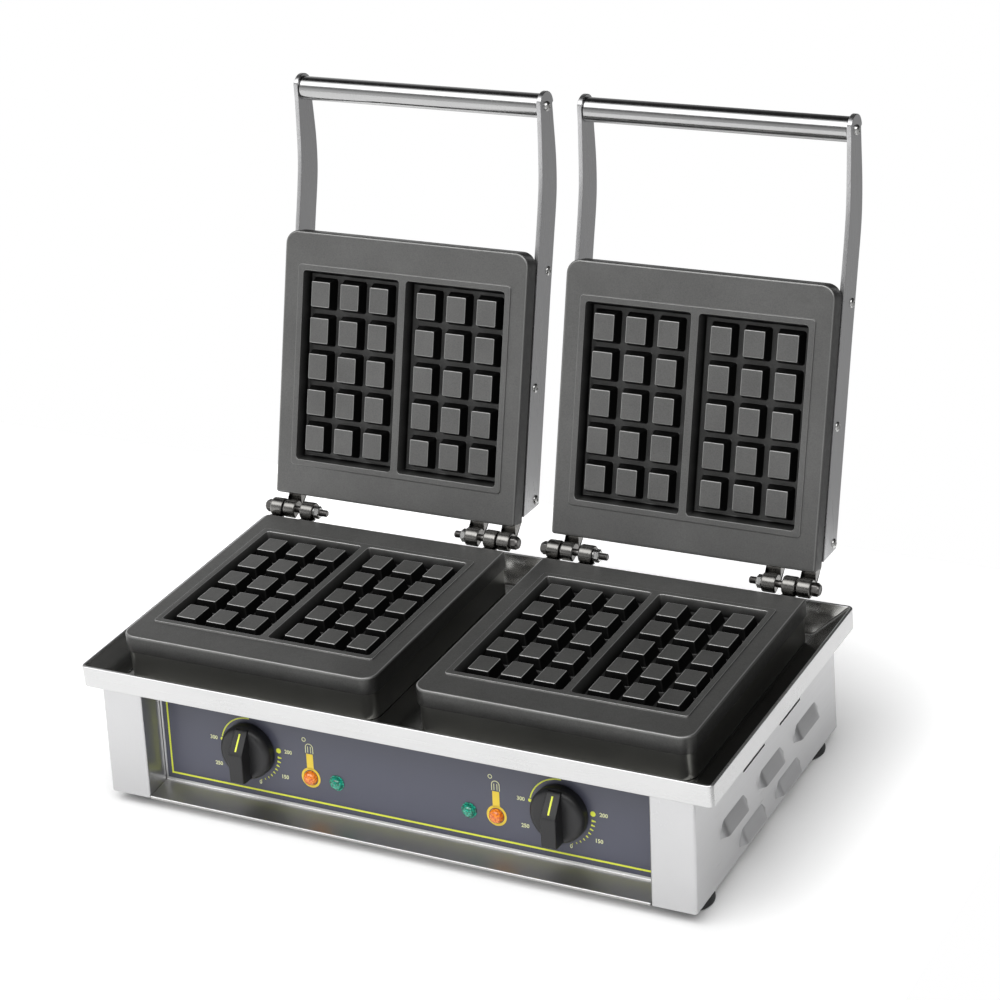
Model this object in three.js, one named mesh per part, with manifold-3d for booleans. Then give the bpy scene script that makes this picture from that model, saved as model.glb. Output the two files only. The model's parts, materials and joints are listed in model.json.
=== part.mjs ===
// Double counter-top waffle iron, lids standing open.
// Millimetres, +Z up, X along the machine, -Y towards the operator.
import * as THREE from 'three';
import { mergeVertices } from 'three/addons/utils/BufferGeometryUtils.js';
import Module from 'manifold-3d';

const wasm = await Module();
wasm.setup();

// ---------- driving dimensions ----------
const GAP = 0.3;                 // clearance between touching pieces
const SHEET = 1.5;               // housing sheet thickness

const PITCH = 266.6;             // left iron centre to right iron centre
const HINGE_Y = 67.3;            // hinge axis, towards the back
const HINGE_Z = 142.4;           // hinge axis height = parting plane of the irons
const LID_OPEN = 107.04;         // lid angle in the pose built here, closed = 0

const HOUSE_W = 518;             // housing width over the side panels
const HOUSE_BOTTOM = 10;
const HOUSE_TOP = 105;
const HOUSE_REAR = 84.7;
const FRONT_FOOT = -201.7;       // front face at the very bottom
const LEAN = 5.2;                // front face and control panel lean back, degrees
const LEG_W = 37;                // front face left and right of the panel recess
const RECESS = 26;               // depth of the recess in front of the control panel
const PANEL_FOOT_Z = 14;
const PANEL_H = 86.5;

const TRAY_W = 550;
const TRAY_FRONT = -196.7;
const TRAY_REAR = 89.8;
const TRAY_BOTTOM = 101.8;
const TRAY_TOP = 120;
const TRAY_WALL = 1.2;
const TRAY_LIP = 2.4;            // flat rim between the outer band and the slope
const TRAY_SLOPE = 23;           // run of the sloping inner sides

const PLATE_W = 232;             // iron casting width
const PLATE_REAR = 12.5;         // hinge axis to rear edge of the casting
const PLATE_FRONT = 240;         // hinge axis to front edge of the casting
const PLATE_T = 17;
const PLATE_R = 12;              // corners at the operator's end
const PLATE_R_REAR = 2.5;        // corners at the hinge
const LAND = 1.6;                // outer land lies this far behind the parting plane
const LIP = 0.5;                 // raised lip round the moulds
const BLOCK = 1.6;               // tops of the waffle blocks
const FLOOR = 11.4;              // mould floor
const LIP_HALF = 101.6;
const LIP_REAR = 38.8;
const LIP_FRONT = 212.2;
const LIP_W = 5;
const DIVIDER = 3.2;             // half width of the wall between the two moulds
const BLOCK_W = 17.8;
const BLOCK_D = 21.6;
const BLOCK_DRAFT = 2.5;
const BLOCK_COLS = [22.75, 51.16, 79.57];
const BLOCK_FIRST = 63.5;
const BLOCK_PITCH = 31.0;
const BLOCK_ROWS = 5;

const LUG_R = 8;
const LUG_OUTER = [104.5, 116];
const LUG_TONGUE = [92, 103.2];
const LUG_INNER = [74.5, 86.5];
const BOLT_R = 3;

const COVER_HALF = 112.2;
const COVER_REAR = 20;
const COVER_FRONT = 228;
const COVER_T = 47;

const ARM_IN = 113;
const ARM_OUT = 117;
const HANDLE_V = 359.5;
const HANDLE_W = 17.5;
const HANDLE_R = 10;

const KNOB_X = 137.9;
const KNOB_UP = 42.2;
const KNOB_R = 23;
const LAMP_UP = 27.4;
const AMBER_X = 82.6;
const GREEN_X = 58.8;
const LAMP_R = 6;

const FOOT_X = 240;
const FOOT_R = 19;

// ---------- materials ----------
const SATIN = ['#c4c6c8', 0.35, 1];
const BRIGHT = ['#d4d6d8', 0.18, 1];
const CAST = ['#5c5c5e', 0.5, 0.8];
const BLACK = ['#1a1b1c', 0.45, 0];
const RUBBER = ['#111111', 0.8, 0];
const ZINC = ['#a9acae', 0.35, 1];
const DARK_STEEL = ['#2c2d2f', 0.4, 1];
const SLATE = ['#4a4d5a', 0.45, 0];
const SHEATH = ['#6b5f55', 0.5, 0.9];

const group = new THREE.Group();
group.name = 'waffle_iron_double';

function paint(spec) {
  return new THREE.MeshStandardMaterial({ color: spec[0], roughness: spec[1], metalness: spec[2] });
}

// ---------- solids ----------
function clean(geometry) {
  const g = geometry.clone();
  g.deleteAttribute('normal');
  g.deleteAttribute('uv');
  return mergeVertices(g, 1e-4);
}

function toSolid(geometry) {
  const g = clean(geometry);
  const vertProperties = new Float32Array(g.attributes.position.array);
  const triVerts = new Uint32Array(g.index.array);
  return new wasm.Manifold(new wasm.Mesh({ numProp: 3, vertProperties, triVerts }));
}

function toGeometry(solid) {
  const mesh = solid.getMesh();
  const g = new THREE.BufferGeometry();
  const points = new Float32Array(mesh.numVert * 3);
  for (let i = 0; i < mesh.numVert; i += 1) {
    for (let k = 0; k < 3; k += 1) {
      points[i * 3 + k] = mesh.vertProperties[i * mesh.numProp + k];
    }
  }
  g.setAttribute('position', new THREE.BufferAttribute(points, 3));
  g.setIndex(new THREE.BufferAttribute(new Uint32Array(mesh.triVerts), 1));
  const flat = g.toNonIndexed();
  flat.computeVertexNormals();
  return flat;
}

function box(x0, x1, y0, y1, z0, z1) {
  const g = new THREE.BoxGeometry(x1 - x0, y1 - y0, z1 - z0);
  g.translate((x0 + x1) / 2, (y0 + y1) / 2, (z0 + z1) / 2);
  return toSolid(g);
}

function rodX(x0, x1, y, z, r, segments = 24) {
  const g = new THREE.CylinderGeometry(r, r, x1 - x0, segments);
  g.rotateZ(Math.PI / 2);
  g.translate((x0 + x1) / 2, y, z);
  return toSolid(g);
}

function rodY(y0, y1, x, z, r, segments = 24) {
  const g = new THREE.CylinderGeometry(r, r, y1 - y0, segments);
  g.translate(x, (y0 + y1) / 2, z);
  return toSolid(g);
}

// Polygon in the Y-Z plane, extruded along X.
function slabX(points, x0, x1) {
  const shape = new THREE.Shape(points.map((p) => new THREE.Vector2(p[0], p[1])));
  const g = new THREE.ExtrudeGeometry(shape, { depth: x1 - x0, bevelEnabled: false });
  const turn = new THREE.Matrix4().set(0, 0, 1, x0, 1, 0, 0, 0, 0, 1, 0, 0, 0, 0, 0, 1);
  g.applyMatrix4(turn);
  return toSolid(g);
}

// Rectangle with rounded corners, anticlockwise; top is the radius of the two corners at y1.
function roundRect(x0, x1, y0, y1, r, steps = 5, top = r) {
  const corners = [
    [x1 - top, y1 - top, 0, top],
    [x0 + top, y1 - top, Math.PI / 2, top],
    [x0 + r, y0 + r, Math.PI, r],
    [x1 - r, y0 + r, 1.5 * Math.PI, r],
  ];
  const points = [];
  for (const [cx, cy, start, radius] of corners) {
    for (let i = 0; i <= steps; i += 1) {
      const a = start + (i / steps) * (Math.PI / 2);
      points.push([cx + radius * Math.cos(a), cy + radius * Math.sin(a)]);
    }
  }
  return points;
}

// Closed solid through a stack of outlines, each {z, points}, lowest first.
function loft(rings) {
  const count = rings[0].points.length;
  const positions = [];
  for (const ring of rings) {
    for (const p of ring.points) {
      positions.push(p[0], p[1], ring.z);
    }
  }
  const index = [];
  for (let r = 0; r < rings.length - 1; r += 1) {
    for (let i = 0; i < count; i += 1) {
      const a = r * count + i;
      const b = r * count + ((i + 1) % count);
      index.push(a, b, b + count, a, b + count, a + count);
    }
  }
  for (const [ring, flip] of [[0, true], [rings.length - 1, false]]) {
    const contour = rings[ring].points.map((p) => new THREE.Vector2(p[0], p[1]));
    for (const face of THREE.ShapeUtils.triangulateShape(contour, [])) {
      const f = face.map((i) => i + ring * count);
      index.push(f[0], flip ? f[2] : f[1], flip ? f[1] : f[2]);
    }
  }
  const g = new THREE.BufferGeometry();
  g.setAttribute('position', new THREE.Float32BufferAttribute(positions, 3));
  g.setIndex(index);
  return toSolid(g);
}

function rim(x0, x1, y0, y1, r, z, inset = 0, top = r) {
  const radius = Math.max(r - inset, 0.6);
  const topRadius = Math.max(top - inset, 0.6);
  const points = roundRect(x0 + inset, x1 - inset, y0 + inset, y1 - inset, radius, 5, topRadius);
  return { z, points };
}

function addSolid(name, solid, spec, place = null) {
  const g = toGeometry(solid);
  if (place) {
    g.applyMatrix4(place);
  }
  const mesh = new THREE.Mesh(g, paint(spec));
  mesh.name = name;
  group.add(mesh);
  return mesh;
}

// ---------- placing ----------
const radians = (degrees) => (degrees * Math.PI) / 180;
const SIDES = [['left', -1], ['right', 1]];

// Iron frame: x across, -y is the distance from the hinge, -z is the depth behind the face.
function lowerPlace(side) {
  return new THREE.Matrix4().makeTranslation((side * PITCH) / 2, HINGE_Y, HINGE_Z);
}

function upperPlace(side) {
  const turn = new THREE.Matrix4().makeRotationX(-radians(LID_OPEN));
  const flip = new THREE.Matrix4().makeRotationY(Math.PI);
  return lowerPlace(side).multiply(turn).multiply(flip);
}

// Panel frame: x along the machine, -y out of the panel, z up the panel from its foot.
const PANEL_FOOT_Y = FRONT_FOOT + (PANEL_FOOT_Z - HOUSE_BOTTOM) * Math.tan(radians(LEAN)) + RECESS;

function panelPlace() {
  const turn = new THREE.Matrix4().makeRotationX(-radians(LEAN));
  return new THREE.Matrix4().makeTranslation(0, PANEL_FOOT_Y, PANEL_FOOT_Z).multiply(turn);
}

function frontAt(z) {
  return FRONT_FOOT + (z - HOUSE_BOTTOM) * Math.tan(radians(LEAN));
}

// ---------- housing ----------
const LOUVRES = [
  [18.5, 45, 59], [-54, 45, 59], [-127, 45, 59],
  [-22, 18, 31], [-94, 18, 31],
];
const LOUVRE_LENGTH = 52;
const LOUVRE_RISE = 3;

// Pressed louvre: proud along its lower edge, running out flush at the top and both ends.
function louvre(side, y, z0, z1) {
  const root = side * (HOUSE_W / 2 - SHEET / 2);
  const out = side * (HOUSE_W / 2 + LOUVRE_RISE);
  const half = LOUVRE_LENGTH / 2;
  const flank = half - 8;
  const positions = [
    [root, y - half, z0], [root, y + half, z0], [root, y + half, z1], [root, y - half, z1],
    [out, y - flank, z0], [out, y + flank, z0],
  ].flat();
  const faces = [[0, 3, 2], [0, 2, 1], [0, 1, 5], [0, 5, 4], [3, 5, 2], [3, 4, 5], [0, 4, 3], [1, 2, 5]];
  const g = new THREE.BufferGeometry();
  g.setAttribute('position', new THREE.Float32BufferAttribute(positions, 3));
  g.setIndex(faces.flatMap((f) => (side > 0 ? f : [f[0], f[2], f[1]])));
  return toSolid(g);
}

// Sheet wrapped round the back and sides, folded in at the front as two leaning legs.
function housingShell() {
  const half = HOUSE_W / 2;
  const inner = half - LEG_W;
  const cheekEnd = FRONT_FOOT + RECESS + 8;
  const right = [
    [inner + SHEET, cheekEnd], [inner, cheekEnd], [inner, FRONT_FOOT], [half, FRONT_FOOT],
    [half, HOUSE_REAR],
  ];
  const within = [
    [half - SHEET, HOUSE_REAR - SHEET], [half - SHEET, FRONT_FOOT + SHEET],
    [inner + SHEET, FRONT_FOOT + SHEET],
  ];
  const mirror = (list) => list.map(([x, y]) => [-x, y]).reverse();
  const plan = [...right, ...mirror(right), ...mirror(within), ...within];
  const shape = new THREE.Shape(plan.map((p) => new THREE.Vector2(p[0], p[1])));
  const g = new THREE.ExtrudeGeometry(shape, { depth: HOUSE_TOP - HOUSE_BOTTOM, bevelEnabled: false });
  g.translate(0, 0, HOUSE_BOTTOM);
  const position = g.attributes.position;
  for (let i = 0; i < position.count; i += 1) {
    if (position.getY(i) < cheekEnd + 1) {
      const rise = position.getZ(i) - HOUSE_BOTTOM;
      position.setY(i, position.getY(i) + rise * Math.tan(radians(LEAN)));
    }
  }
  let shell = toSolid(g);
  for (const [, side] of SIDES) {
    const outer = side * half;
    const span = (a, b) => [Math.min(a, b), Math.max(a, b)];
    const notch = span(side * (inner - 1), side * (inner + SHEET + 1));
    shell = shell.subtract(box(...notch, FRONT_FOOT + 12, FRONT_FOOT + 60, TRAY_BOTTOM - 0.4, 120));
    for (const [y, low, high] of LOUVRES) {
      shell = shell.add(louvre(side, y, low, high));
    }
    for (const y of [-12, -84.5]) {
      shell = shell.subtract(box(...span(outer + side, outer - side * 3), y - 21, y + 21, 76, 77.4));
    }
  }
  return shell.subtract(rodY(HOUSE_REAR - 5, HOUSE_REAR + 5, -190, 40, 8.3));
}

addSolid('housing_shell', housingShell(), SATIN);

// Base pan: closes the underside and shows in front as a low ledge under the control panel.
{
  const x = HOUSE_W / 2 - SHEET - GAP;
  const inner = HOUSE_W / 2 - LEG_W - GAP;
  const y0 = FRONT_FOOT + SHEET + GAP + 0.2;
  let pan = box(-x, x, y0, HOUSE_REAR - SHEET - GAP, HOUSE_BOTTOM + GAP, HOUSE_BOTTOM + GAP + SHEET);
  const nose = slabX([
    [FRONT_FOOT, HOUSE_BOTTOM - 0.2], [FRONT_FOOT + 2, HOUSE_BOTTOM - 1.2],
    [PANEL_FOOT_Y - 1, HOUSE_BOTTOM - 1.2], [PANEL_FOOT_Y - 0.4, PANEL_FOOT_Z - 0.4],
    [FRONT_FOOT + 3, HOUSE_BOTTOM + 1.6], [FRONT_FOOT + 0.4, HOUSE_BOTTOM + 1],
  ], -inner, inner);
  for (const [, side] of SIDES) {
    const a = side * (HOUSE_W / 2 - LEG_W - GAP);
    const b = side * (HOUSE_W / 2 - LEG_W + SHEET + GAP);
    pan = pan.subtract(box(Math.min(a, b), Math.max(a, b), -300, PANEL_FOOT_Y + 9, 0, 40));
    const c = side * HOUSE_W;
    pan = pan.subtract(box(Math.min(a, c), Math.max(a, c), -300, PANEL_FOOT_Y + 9, 0, 40));
  }
  addSolid('base_pan', pan.add(nose), BRIGHT);
}

// Control panel, a leaning sheet between the cheeks of the housing.
{
  const x = HOUSE_W / 2 - LEG_W - GAP;
  let panel = box(-x, x, 0, SHEET, 0, PANEL_H);
  for (const [, side] of SIDES) {
    panel = panel.subtract(rodY(-5, 5, side * KNOB_X, KNOB_UP, 4.2, 16));
    panel = panel.subtract(rodY(-5, 5, side * AMBER_X, LAMP_UP, LAMP_R - 1, 16));
    panel = panel.subtract(rodY(-5, 5, side * GREEN_X, LAMP_UP, LAMP_R - 1, 16));
  }
  addSolid('control_panel', panel, BRIGHT, panelPlace());

  let fascia = box(-x + 2, x - 2, -GAP - 0.5, -GAP, 2, PANEL_H - 0.5);
  for (const [, side] of SIDES) {
    fascia = fascia.subtract(rodY(-5, 5, side * KNOB_X, KNOB_UP, 5.5, 16));
    fascia = fascia.subtract(rodY(-5, 5, side * AMBER_X, LAMP_UP, LAMP_R - 0.6, 20));
    fascia = fascia.subtract(rodY(-5, 5, side * GREEN_X, LAMP_UP, LAMP_R - 0.6, 20));
  }
  addSolid('control_fascia', fascia, SLATE, panelPlace());
}

// ---------- drip tray ----------
{
  const x = TRAY_W / 2;
  const y0 = TRAY_FRONT;
  const y1 = TRAY_REAR;
  const outer = loft([rim(-x, x, y0, y1, 5, TRAY_BOTTOM), rim(-x, x, y0, y1, 5, TRAY_TOP)]);
  const under = loft([
    rim(-x, x, y0, y1, 5, TRAY_BOTTOM - 4, TRAY_WALL),
    rim(-x, x, y0, y1, 5, TRAY_TOP - TRAY_WALL, TRAY_WALL),
  ]);
  const pan = TRAY_BOTTOM + TRAY_WALL;
  const cavity = loft([
    rim(-x, x, y0, y1, 6, pan, TRAY_LIP + TRAY_SLOPE),
    rim(-x, x, y0, y1, 6, TRAY_TOP, TRAY_LIP),
    rim(-x, x, y0, y1, 6, TRAY_TOP + 6, TRAY_LIP - 0.2),
  ]);
  const belly = loft([
    rim(-x, x, y0, y1, 6, TRAY_BOTTOM, TRAY_LIP + TRAY_SLOPE - 0.6),
    rim(-x, x, y0, y1, 6, TRAY_TOP - 0.2, 0.9),
  ]);
  addSolid('drip_tray', outer.subtract(under.subtract(belly)).subtract(cavity), BRIGHT);
}

// ---------- irons ----------
function hull(points) {
  const sorted = [...points].sort((a, b) => a[0] - b[0] || a[1] - b[1]);
  const turn = (o, a, b) => (a[0] - o[0]) * (b[1] - o[1]) - (a[1] - o[1]) * (b[0] - o[0]);
  const chain = (list) => {
    const out = [];
    for (const p of list) {
      while (out.length > 1 && turn(out[out.length - 2], out[out.length - 1], p) <= 0) {
        out.pop();
      }
      out.push(p);
    }
    out.pop();
    return out;
  };
  return chain(sorted).concat(chain(sorted.reverse()));
}

function lug(x0, x1) {
  const points = [[-14, -2.2], [-14, -PLATE_T + 0.5]];
  for (let i = 0; i < 28; i += 1) {
    const a = (i / 28) * 2 * Math.PI;
    points.push([LUG_R * Math.cos(a), LUG_R * Math.sin(a)]);
  }
  return slabX(hull(points), x0, x1);
}

// Tapered block with a small chamfer round its top.
function waffleBlock(x, y) {
  const ring = (z, grow) => {
    const w = BLOCK_W / 2 + grow;
    const d = BLOCK_D / 2 + grow;
    return { z, points: [[x + w, y + d], [x - w, y + d], [x - w, y - d], [x + w, y - d]] };
  };
  return loft([ring(-FLOOR - 0.5, BLOCK_DRAFT), ring(-BLOCK - 0.8, 0.2), ring(-BLOCK, -0.6)]);
}

function ironPlate() {
  const half = PLATE_W / 2;
  const edge = (z, inset) => {
    return rim(-half, half, -PLATE_FRONT, -PLATE_REAR, PLATE_R, z, inset, PLATE_R_REAR);
  };
  let plate = loft([
    edge(-PLATE_T, 0.6), edge(-PLATE_T + 0.6, 0), edge(-LAND - 3, 0),
    edge(-LAND - 0.7, 0.5), edge(-LAND, 1.8),
  ]);
  const lip = (z, inset) => rim(-LIP_HALF, LIP_HALF, -LIP_FRONT, -LIP_REAR, 3, z, inset);
  plate = plate.add(loft([lip(-5, 0), lip(-LAND, 0), lip(-LIP, 0.8)]));
  for (const side of [-1, 1]) {
    const a = side * DIVIDER;
    const b = side * (LIP_HALF - LIP_W);
    const x0 = Math.min(a, b);
    const x1 = Math.max(a, b);
    const wall = (z, inset) => {
      return rim(x0, x1, -LIP_FRONT + LIP_W, -LIP_REAR - LIP_W, 3, z, inset);
    };
    plate = plate.subtract(loft([wall(-FLOOR, 2.5), wall(-LIP, 0.3), wall(2, -0.2)]));
    for (const column of BLOCK_COLS) {
      for (let row = 0; row < BLOCK_ROWS; row += 1) {
        plate = plate.add(waffleBlock(side * column, -(BLOCK_FIRST + row * BLOCK_PITCH)));
      }
    }
  }
  plate = plate.add(lug(-LUG_OUTER[1], -LUG_OUTER[0]));
  plate = plate.add(lug(-LUG_INNER[1], -LUG_INNER[0]));
  plate = plate.add(lug(LUG_TONGUE[0], LUG_TONGUE[1]));
  return plate.subtract(rodX(-130, 130, 0, 0, BOLT_R + GAP));
}

// Mineral-insulated heating rod bent into a long loop, lying flat under a casting.
function elementRod() {
  const reach = 78;
  const rear = -48;
  const front = -195;
  const bend = 24;
  const lead = 20;
  const points = [[-lead, rear - 42], [-lead, rear - 4]];
  for (const [cx, cy, start] of [
    [bend - reach, rear - bend, 90], [bend - reach, front + bend, 180],
    [reach - bend, front + bend, 270], [reach - bend, rear - bend, 360],
  ]) {
    for (let i = 0; i <= 5; i += 1) {
      const a = radians(start + i * 18);
      points.push([cx + bend * Math.cos(a), cy + bend * Math.sin(a)]);
    }
  }
  points.push([lead, rear - 4], [lead, rear - 42]);
  const r = 3.2;
  const sides = 8;
  const positions = [];
  const index = [];
  for (let i = 0; i < points.length; i += 1) {
    const before = points[Math.max(i - 1, 0)];
    const after = points[Math.min(i + 1, points.length - 1)];
    const dx = after[0] - before[0];
    const dy = after[1] - before[1];
    const n = Math.hypot(dx, dy);
    for (let k = 0; k < sides; k += 1) {
      const a = (k / sides) * 2 * Math.PI;
      const side = Math.cos(a) * r;
      positions.push(points[i][0] - (dy / n) * side, points[i][1] + (dx / n) * side, Math.sin(a) * r);
    }
  }
  for (let i = 0; i < points.length - 1; i += 1) {
    for (let k = 0; k < sides; k += 1) {
      const a = i * sides + k;
      const b = i * sides + ((k + 1) % sides);
      index.push(a, b, b + sides, a, b + sides, a + sides);
    }
  }
  const last = (points.length - 1) * sides;
  for (let k = 1; k < sides - 1; k += 1) {
    index.push(0, k + 1, k, last, last + k, last + k + 1);
  }
  const g = new THREE.BufferGeometry();
  g.setAttribute('position', new THREE.Float32BufferAttribute(positions, 3));
  g.setIndex(index);
  g.translate(0, 0, -PLATE_T - GAP - r);
  return toSolid(g);
}

function skirt() {
  const half = PLATE_W / 2 - 1.6;
  const low = TRAY_BOTTOM + TRAY_WALL + GAP - HINGE_Z;
  const high = -PLATE_T - GAP;
  const wall = (z, inset) => {
    return rim(-half, half, -PLATE_FRONT + 1.6, -PLATE_REAR - 1.6, 11, z, inset, PLATE_R_REAR);
  };
  return loft([wall(low, 0), wall(high, 0)]).subtract(loft([wall(low - 1, 1.2), wall(high + 1, 1.2)]));
}

function cover() {
  const shape = (z, inset, r) => {
    return rim(-COVER_HALF, COVER_HALF, -COVER_FRONT, -COVER_REAR, r, z, inset);
  };
  const outer = loft([
    shape(-COVER_T, 6, 12), shape(-COVER_T + 1.8, 1.8, 12), shape(-COVER_T + 6, 0, 12),
    shape(-PLATE_T - GAP, 0, 12),
  ]);
  const inner = loft([
    shape(-COVER_T + 1.4, 7, 12), shape(-COVER_T + 3, 3, 12), shape(-COVER_T + 7, 1.4, 12),
    shape(-PLATE_T + 1, 1.4, 12),
  ]);
  const cut = outer.subtract(inner);
  return cut.subtract(rodY(-COVER_REAR - 6, -COVER_REAR + 6, 60, -31, 5.3, 20));
}

// Flat bar with a shallow S bend; v = distance from hinge, w = depth behind the parting plane.
function armBar(side) {
  const outline = [
    [19, 18], [26, 44.5], [200, 44.5], [250, 45.2], [281, 45.6], [300, 44], [322, 39.5], [349, 31.5],
    [362, 27.6],
  ];
  for (let i = 0; i <= 8; i += 1) {
    const a = radians(70 - i * 18.5);
    outline.push([HANDLE_V + 12.4 * Math.cos(a), HANDLE_W + 12.4 * Math.sin(a)]);
  }
  outline.push([350, 8.4], [323, 13.5], [298, 17.4], [275, 18.4], [250, 18.2], [236, 18]);
  const points = outline.map(([v, w]) => [-v, -w]);
  const x0 = side > 0 ? ARM_IN : -ARM_OUT;
  const x1 = side > 0 ? ARM_OUT : -ARM_IN;
  let arm = slabX(points.reverse(), x0, x1);
  arm = arm.subtract(rodX(-140, 140, -HANDLE_V, -HANDLE_W, 2.5, 16));
  for (const [v, w] of [[224, 37.5], [127, 25.5], [31, 38]]) {
    const head = rodX(
      side > 0 ? ARM_OUT - 1 : -ARM_OUT - 1.6,
      side > 0 ? ARM_OUT + 1.6 : -ARM_OUT + 1,
      -v, -w, 4, 16,
    );
    arm = arm.add(head);
  }
  return arm;
}

function handleTube() {
  const reach = ARM_IN - GAP;
  let tube = rodX(-reach, reach, -HANDLE_V, -HANDLE_W, HANDLE_R, 40);
  tube = tube.subtract(rodX(-reach + 4, reach - 4, -HANDLE_V, -HANDLE_W, HANDLE_R - 1.5, 32));
  return tube.subtract(rodX(-reach - 1, reach + 1, -HANDLE_V, -HANDLE_W, 2.5, 16));
}

function handleScrew(side) {
  const tip = side * (ARM_IN - 12);
  const seat = side * (ARM_OUT + GAP);
  const crown = side * (ARM_OUT + GAP + 2.2);
  const shank = rodX(Math.min(tip, seat), Math.max(tip, seat), -HANDLE_V, -HANDLE_W, 2.2, 16);
  const head = rodX(Math.min(seat, crown), Math.max(seat, crown), -HANDLE_V, -HANDLE_W, 4.2, 20);
  return shank.add(head);
}

function hingeBolt(side) {
  const tip = side * 62.5;
  const seat = side * (LUG_OUTER[1] + GAP);
  const crown = side * (LUG_OUTER[1] + GAP + 7.5);
  const shank = rodX(Math.min(tip, seat), Math.max(tip, seat), 0, 0, BOLT_R, 20);
  const head = rodX(Math.min(seat, crown), Math.max(seat, crown), 0, 0, 5.6, 24);
  return shank.add(head);
}

function hingeNut(side) {
  const a = side * (LUG_INNER[0] - GAP);
  const b = side * (LUG_INNER[0] - GAP - 5);
  const nut = rodX(Math.min(a, b), Math.max(a, b), 0, 0, 5.6, 6);
  return nut.subtract(rodX(-120, 120, 0, 0, BOLT_R + GAP, 20));
}

function knob() {
  const profile = [
    [0, 0], [KNOB_R, 0], [KNOB_R, 7], [KNOB_R - 1.5, 10.5], [KNOB_R - 4, 12], [0, 12.6],
  ].map((p) => new THREE.Vector2(p[0], p[1]));
  const body = new THREE.LatheGeometry(profile, 40);
  body.rotateX(Math.PI);
  body.translate(0, -GAP * 2 - 0.9, 0);
  const bar = loft([
    { z: -20.5, points: roundRect(-6.4, 6.4, -24, -8, 1.5, 3) },
    { z: 4, points: roundRect(-6.4, 6.4, -24, -8, 1.5, 3) },
    { z: 21.5, points: roundRect(-6, 6, -12, -8, 1.5, 3) },
  ]);
  return toSolid(body).add(bar).add(rodY(-3, 9, 0, 0, 3.2, 16));
}

function lamp() {
  const profile = [
    [0, 0], [LAMP_R, 0], [LAMP_R, 1.4], [LAMP_R - 0.8, 3.2], [LAMP_R - 2.4, 4.4], [0, 5],
  ].map((p) => new THREE.Vector2(p[0], p[1]));
  const dome = new THREE.LatheGeometry(profile, 24);
  dome.rotateX(Math.PI);
  dome.translate(0, -GAP * 2 - 0.7, 0);
  return toSolid(dome).add(rodY(-2, 12, 0, 0, LAMP_R - 1.4, 16));
}

function panelSpot(x, up) {
  return panelPlace().multiply(new THREE.Matrix4().makeTranslation(x, 0, up));
}

const plate = ironPlate();
const rod = elementRod();

for (const [tag, side] of SIDES) {
  const low = lowerPlace(side);
  const high = upperPlace(side);
  addSolid(`${tag}_skirt`, skirt(), BRIGHT, low);
  addSolid(`${tag}_lower_plate`, plate, CAST, low);
  addSolid(`${tag}_lower_element`, rod, SHEATH, low);
  addSolid(`${tag}_upper_plate`, plate, CAST, high);
  addSolid(`${tag}_upper_element`, rod, SHEATH, high);
  addSolid(`${tag}_upper_cover`, cover(), SATIN, high);
  for (const [end, way] of [['left', -1], ['right', 1]]) {
    // The lid frame is turned over, so its +x side stands on the machine's left.
    addSolid(`${tag}_arm_${end}`, armBar(-way), SATIN, high);
    addSolid(`${tag}_grip_screw_${end}`, handleScrew(-way), ZINC, high);
    addSolid(`${tag}_hinge_bolt_${end}`, hingeBolt(way), DARK_STEEL, low);
    addSolid(`${tag}_hinge_nut_${end}`, hingeNut(way), ZINC, low);
  }
  addSolid(`${tag}_grip_tube`, handleTube(), BRIGHT, high);
  addSolid(`${tag}_lid_gland`, rodY(-COVER_REAR - 5, -COVER_REAR + 4, 60, -31, 5, 20)
    .add(rodY(-COVER_REAR + GAP, -COVER_REAR + 6, 60, -31, 8, 20))
    .subtract(rodY(-COVER_REAR - 9, -COVER_REAR + 9, 60, -31, 3, 16)), BLACK, high);
  addSolid(`${tag}_knob`, knob(), BLACK, panelSpot(side * KNOB_X, KNOB_UP));
  addSolid(`${tag}_lamp_amber`, lamp(), ['#e87a1e', 0.3, 0], panelSpot(side * AMBER_X, LAMP_UP));
  addSolid(`${tag}_lamp_green`, lamp(), ['#0c8e6c', 0.3, 0], panelSpot(side * GREEN_X, LAMP_UP));
  const body = rodY(10, 34, 0, 0, 15, 24).add(rodY(9.6, 10.4, 0, 0, 6, 16));
  addSolid(`${tag}_thermostat`, body.subtract(rodY(0, 20, 0, 0, 3.6, 16)), BLACK,
    panelSpot(side * KNOB_X, KNOB_UP));
}

// ---------- feet and wiring inside the base ----------
for (const [tag, side] of SIDES) {
  for (const [end, y] of [['front', -171], ['rear', 54]]) {
    const profile = [
      [0, 0], [FOOT_R - 1.5, 0], [FOOT_R, 1.5], [FOOT_R, 6], [FOOT_R - 2, 10], [0, 10],
    ].map((p) => new THREE.Vector2(p[0], p[1]));
    const foot = new THREE.LatheGeometry(profile, 32);
    foot.rotateX(Math.PI / 2);
    addSolid(`foot_${end}_${tag}`, toSolid(foot), RUBBER,
      new THREE.Matrix4().makeTranslation(side * FOOT_X, y, 0));
  }
}

addSolid('terminal_block', box(-215, -165, 30, 50, 12.2, 30), ['#e6e2d6', 0.6, 0]);
addSolid('cable_gland', rodY(HOUSE_REAR - 8, HOUSE_REAR + 8, -190, 40, 8, 24)
  .add(rodY(HOUSE_REAR + GAP, HOUSE_REAR + 5, -190, 40, 11.5, 6))
  .subtract(rodY(HOUSE_REAR - 20, HOUSE_REAR + 20, -190, 40, 4.5, 20)), BLACK);

export default group;
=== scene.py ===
"""Double counter-top waffle iron, lids open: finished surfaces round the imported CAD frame."""
import json
import math

import bmesh
import bpy
from mathutils import Matrix, Vector
from mathutils.geometry import tessellate_polygon


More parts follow.
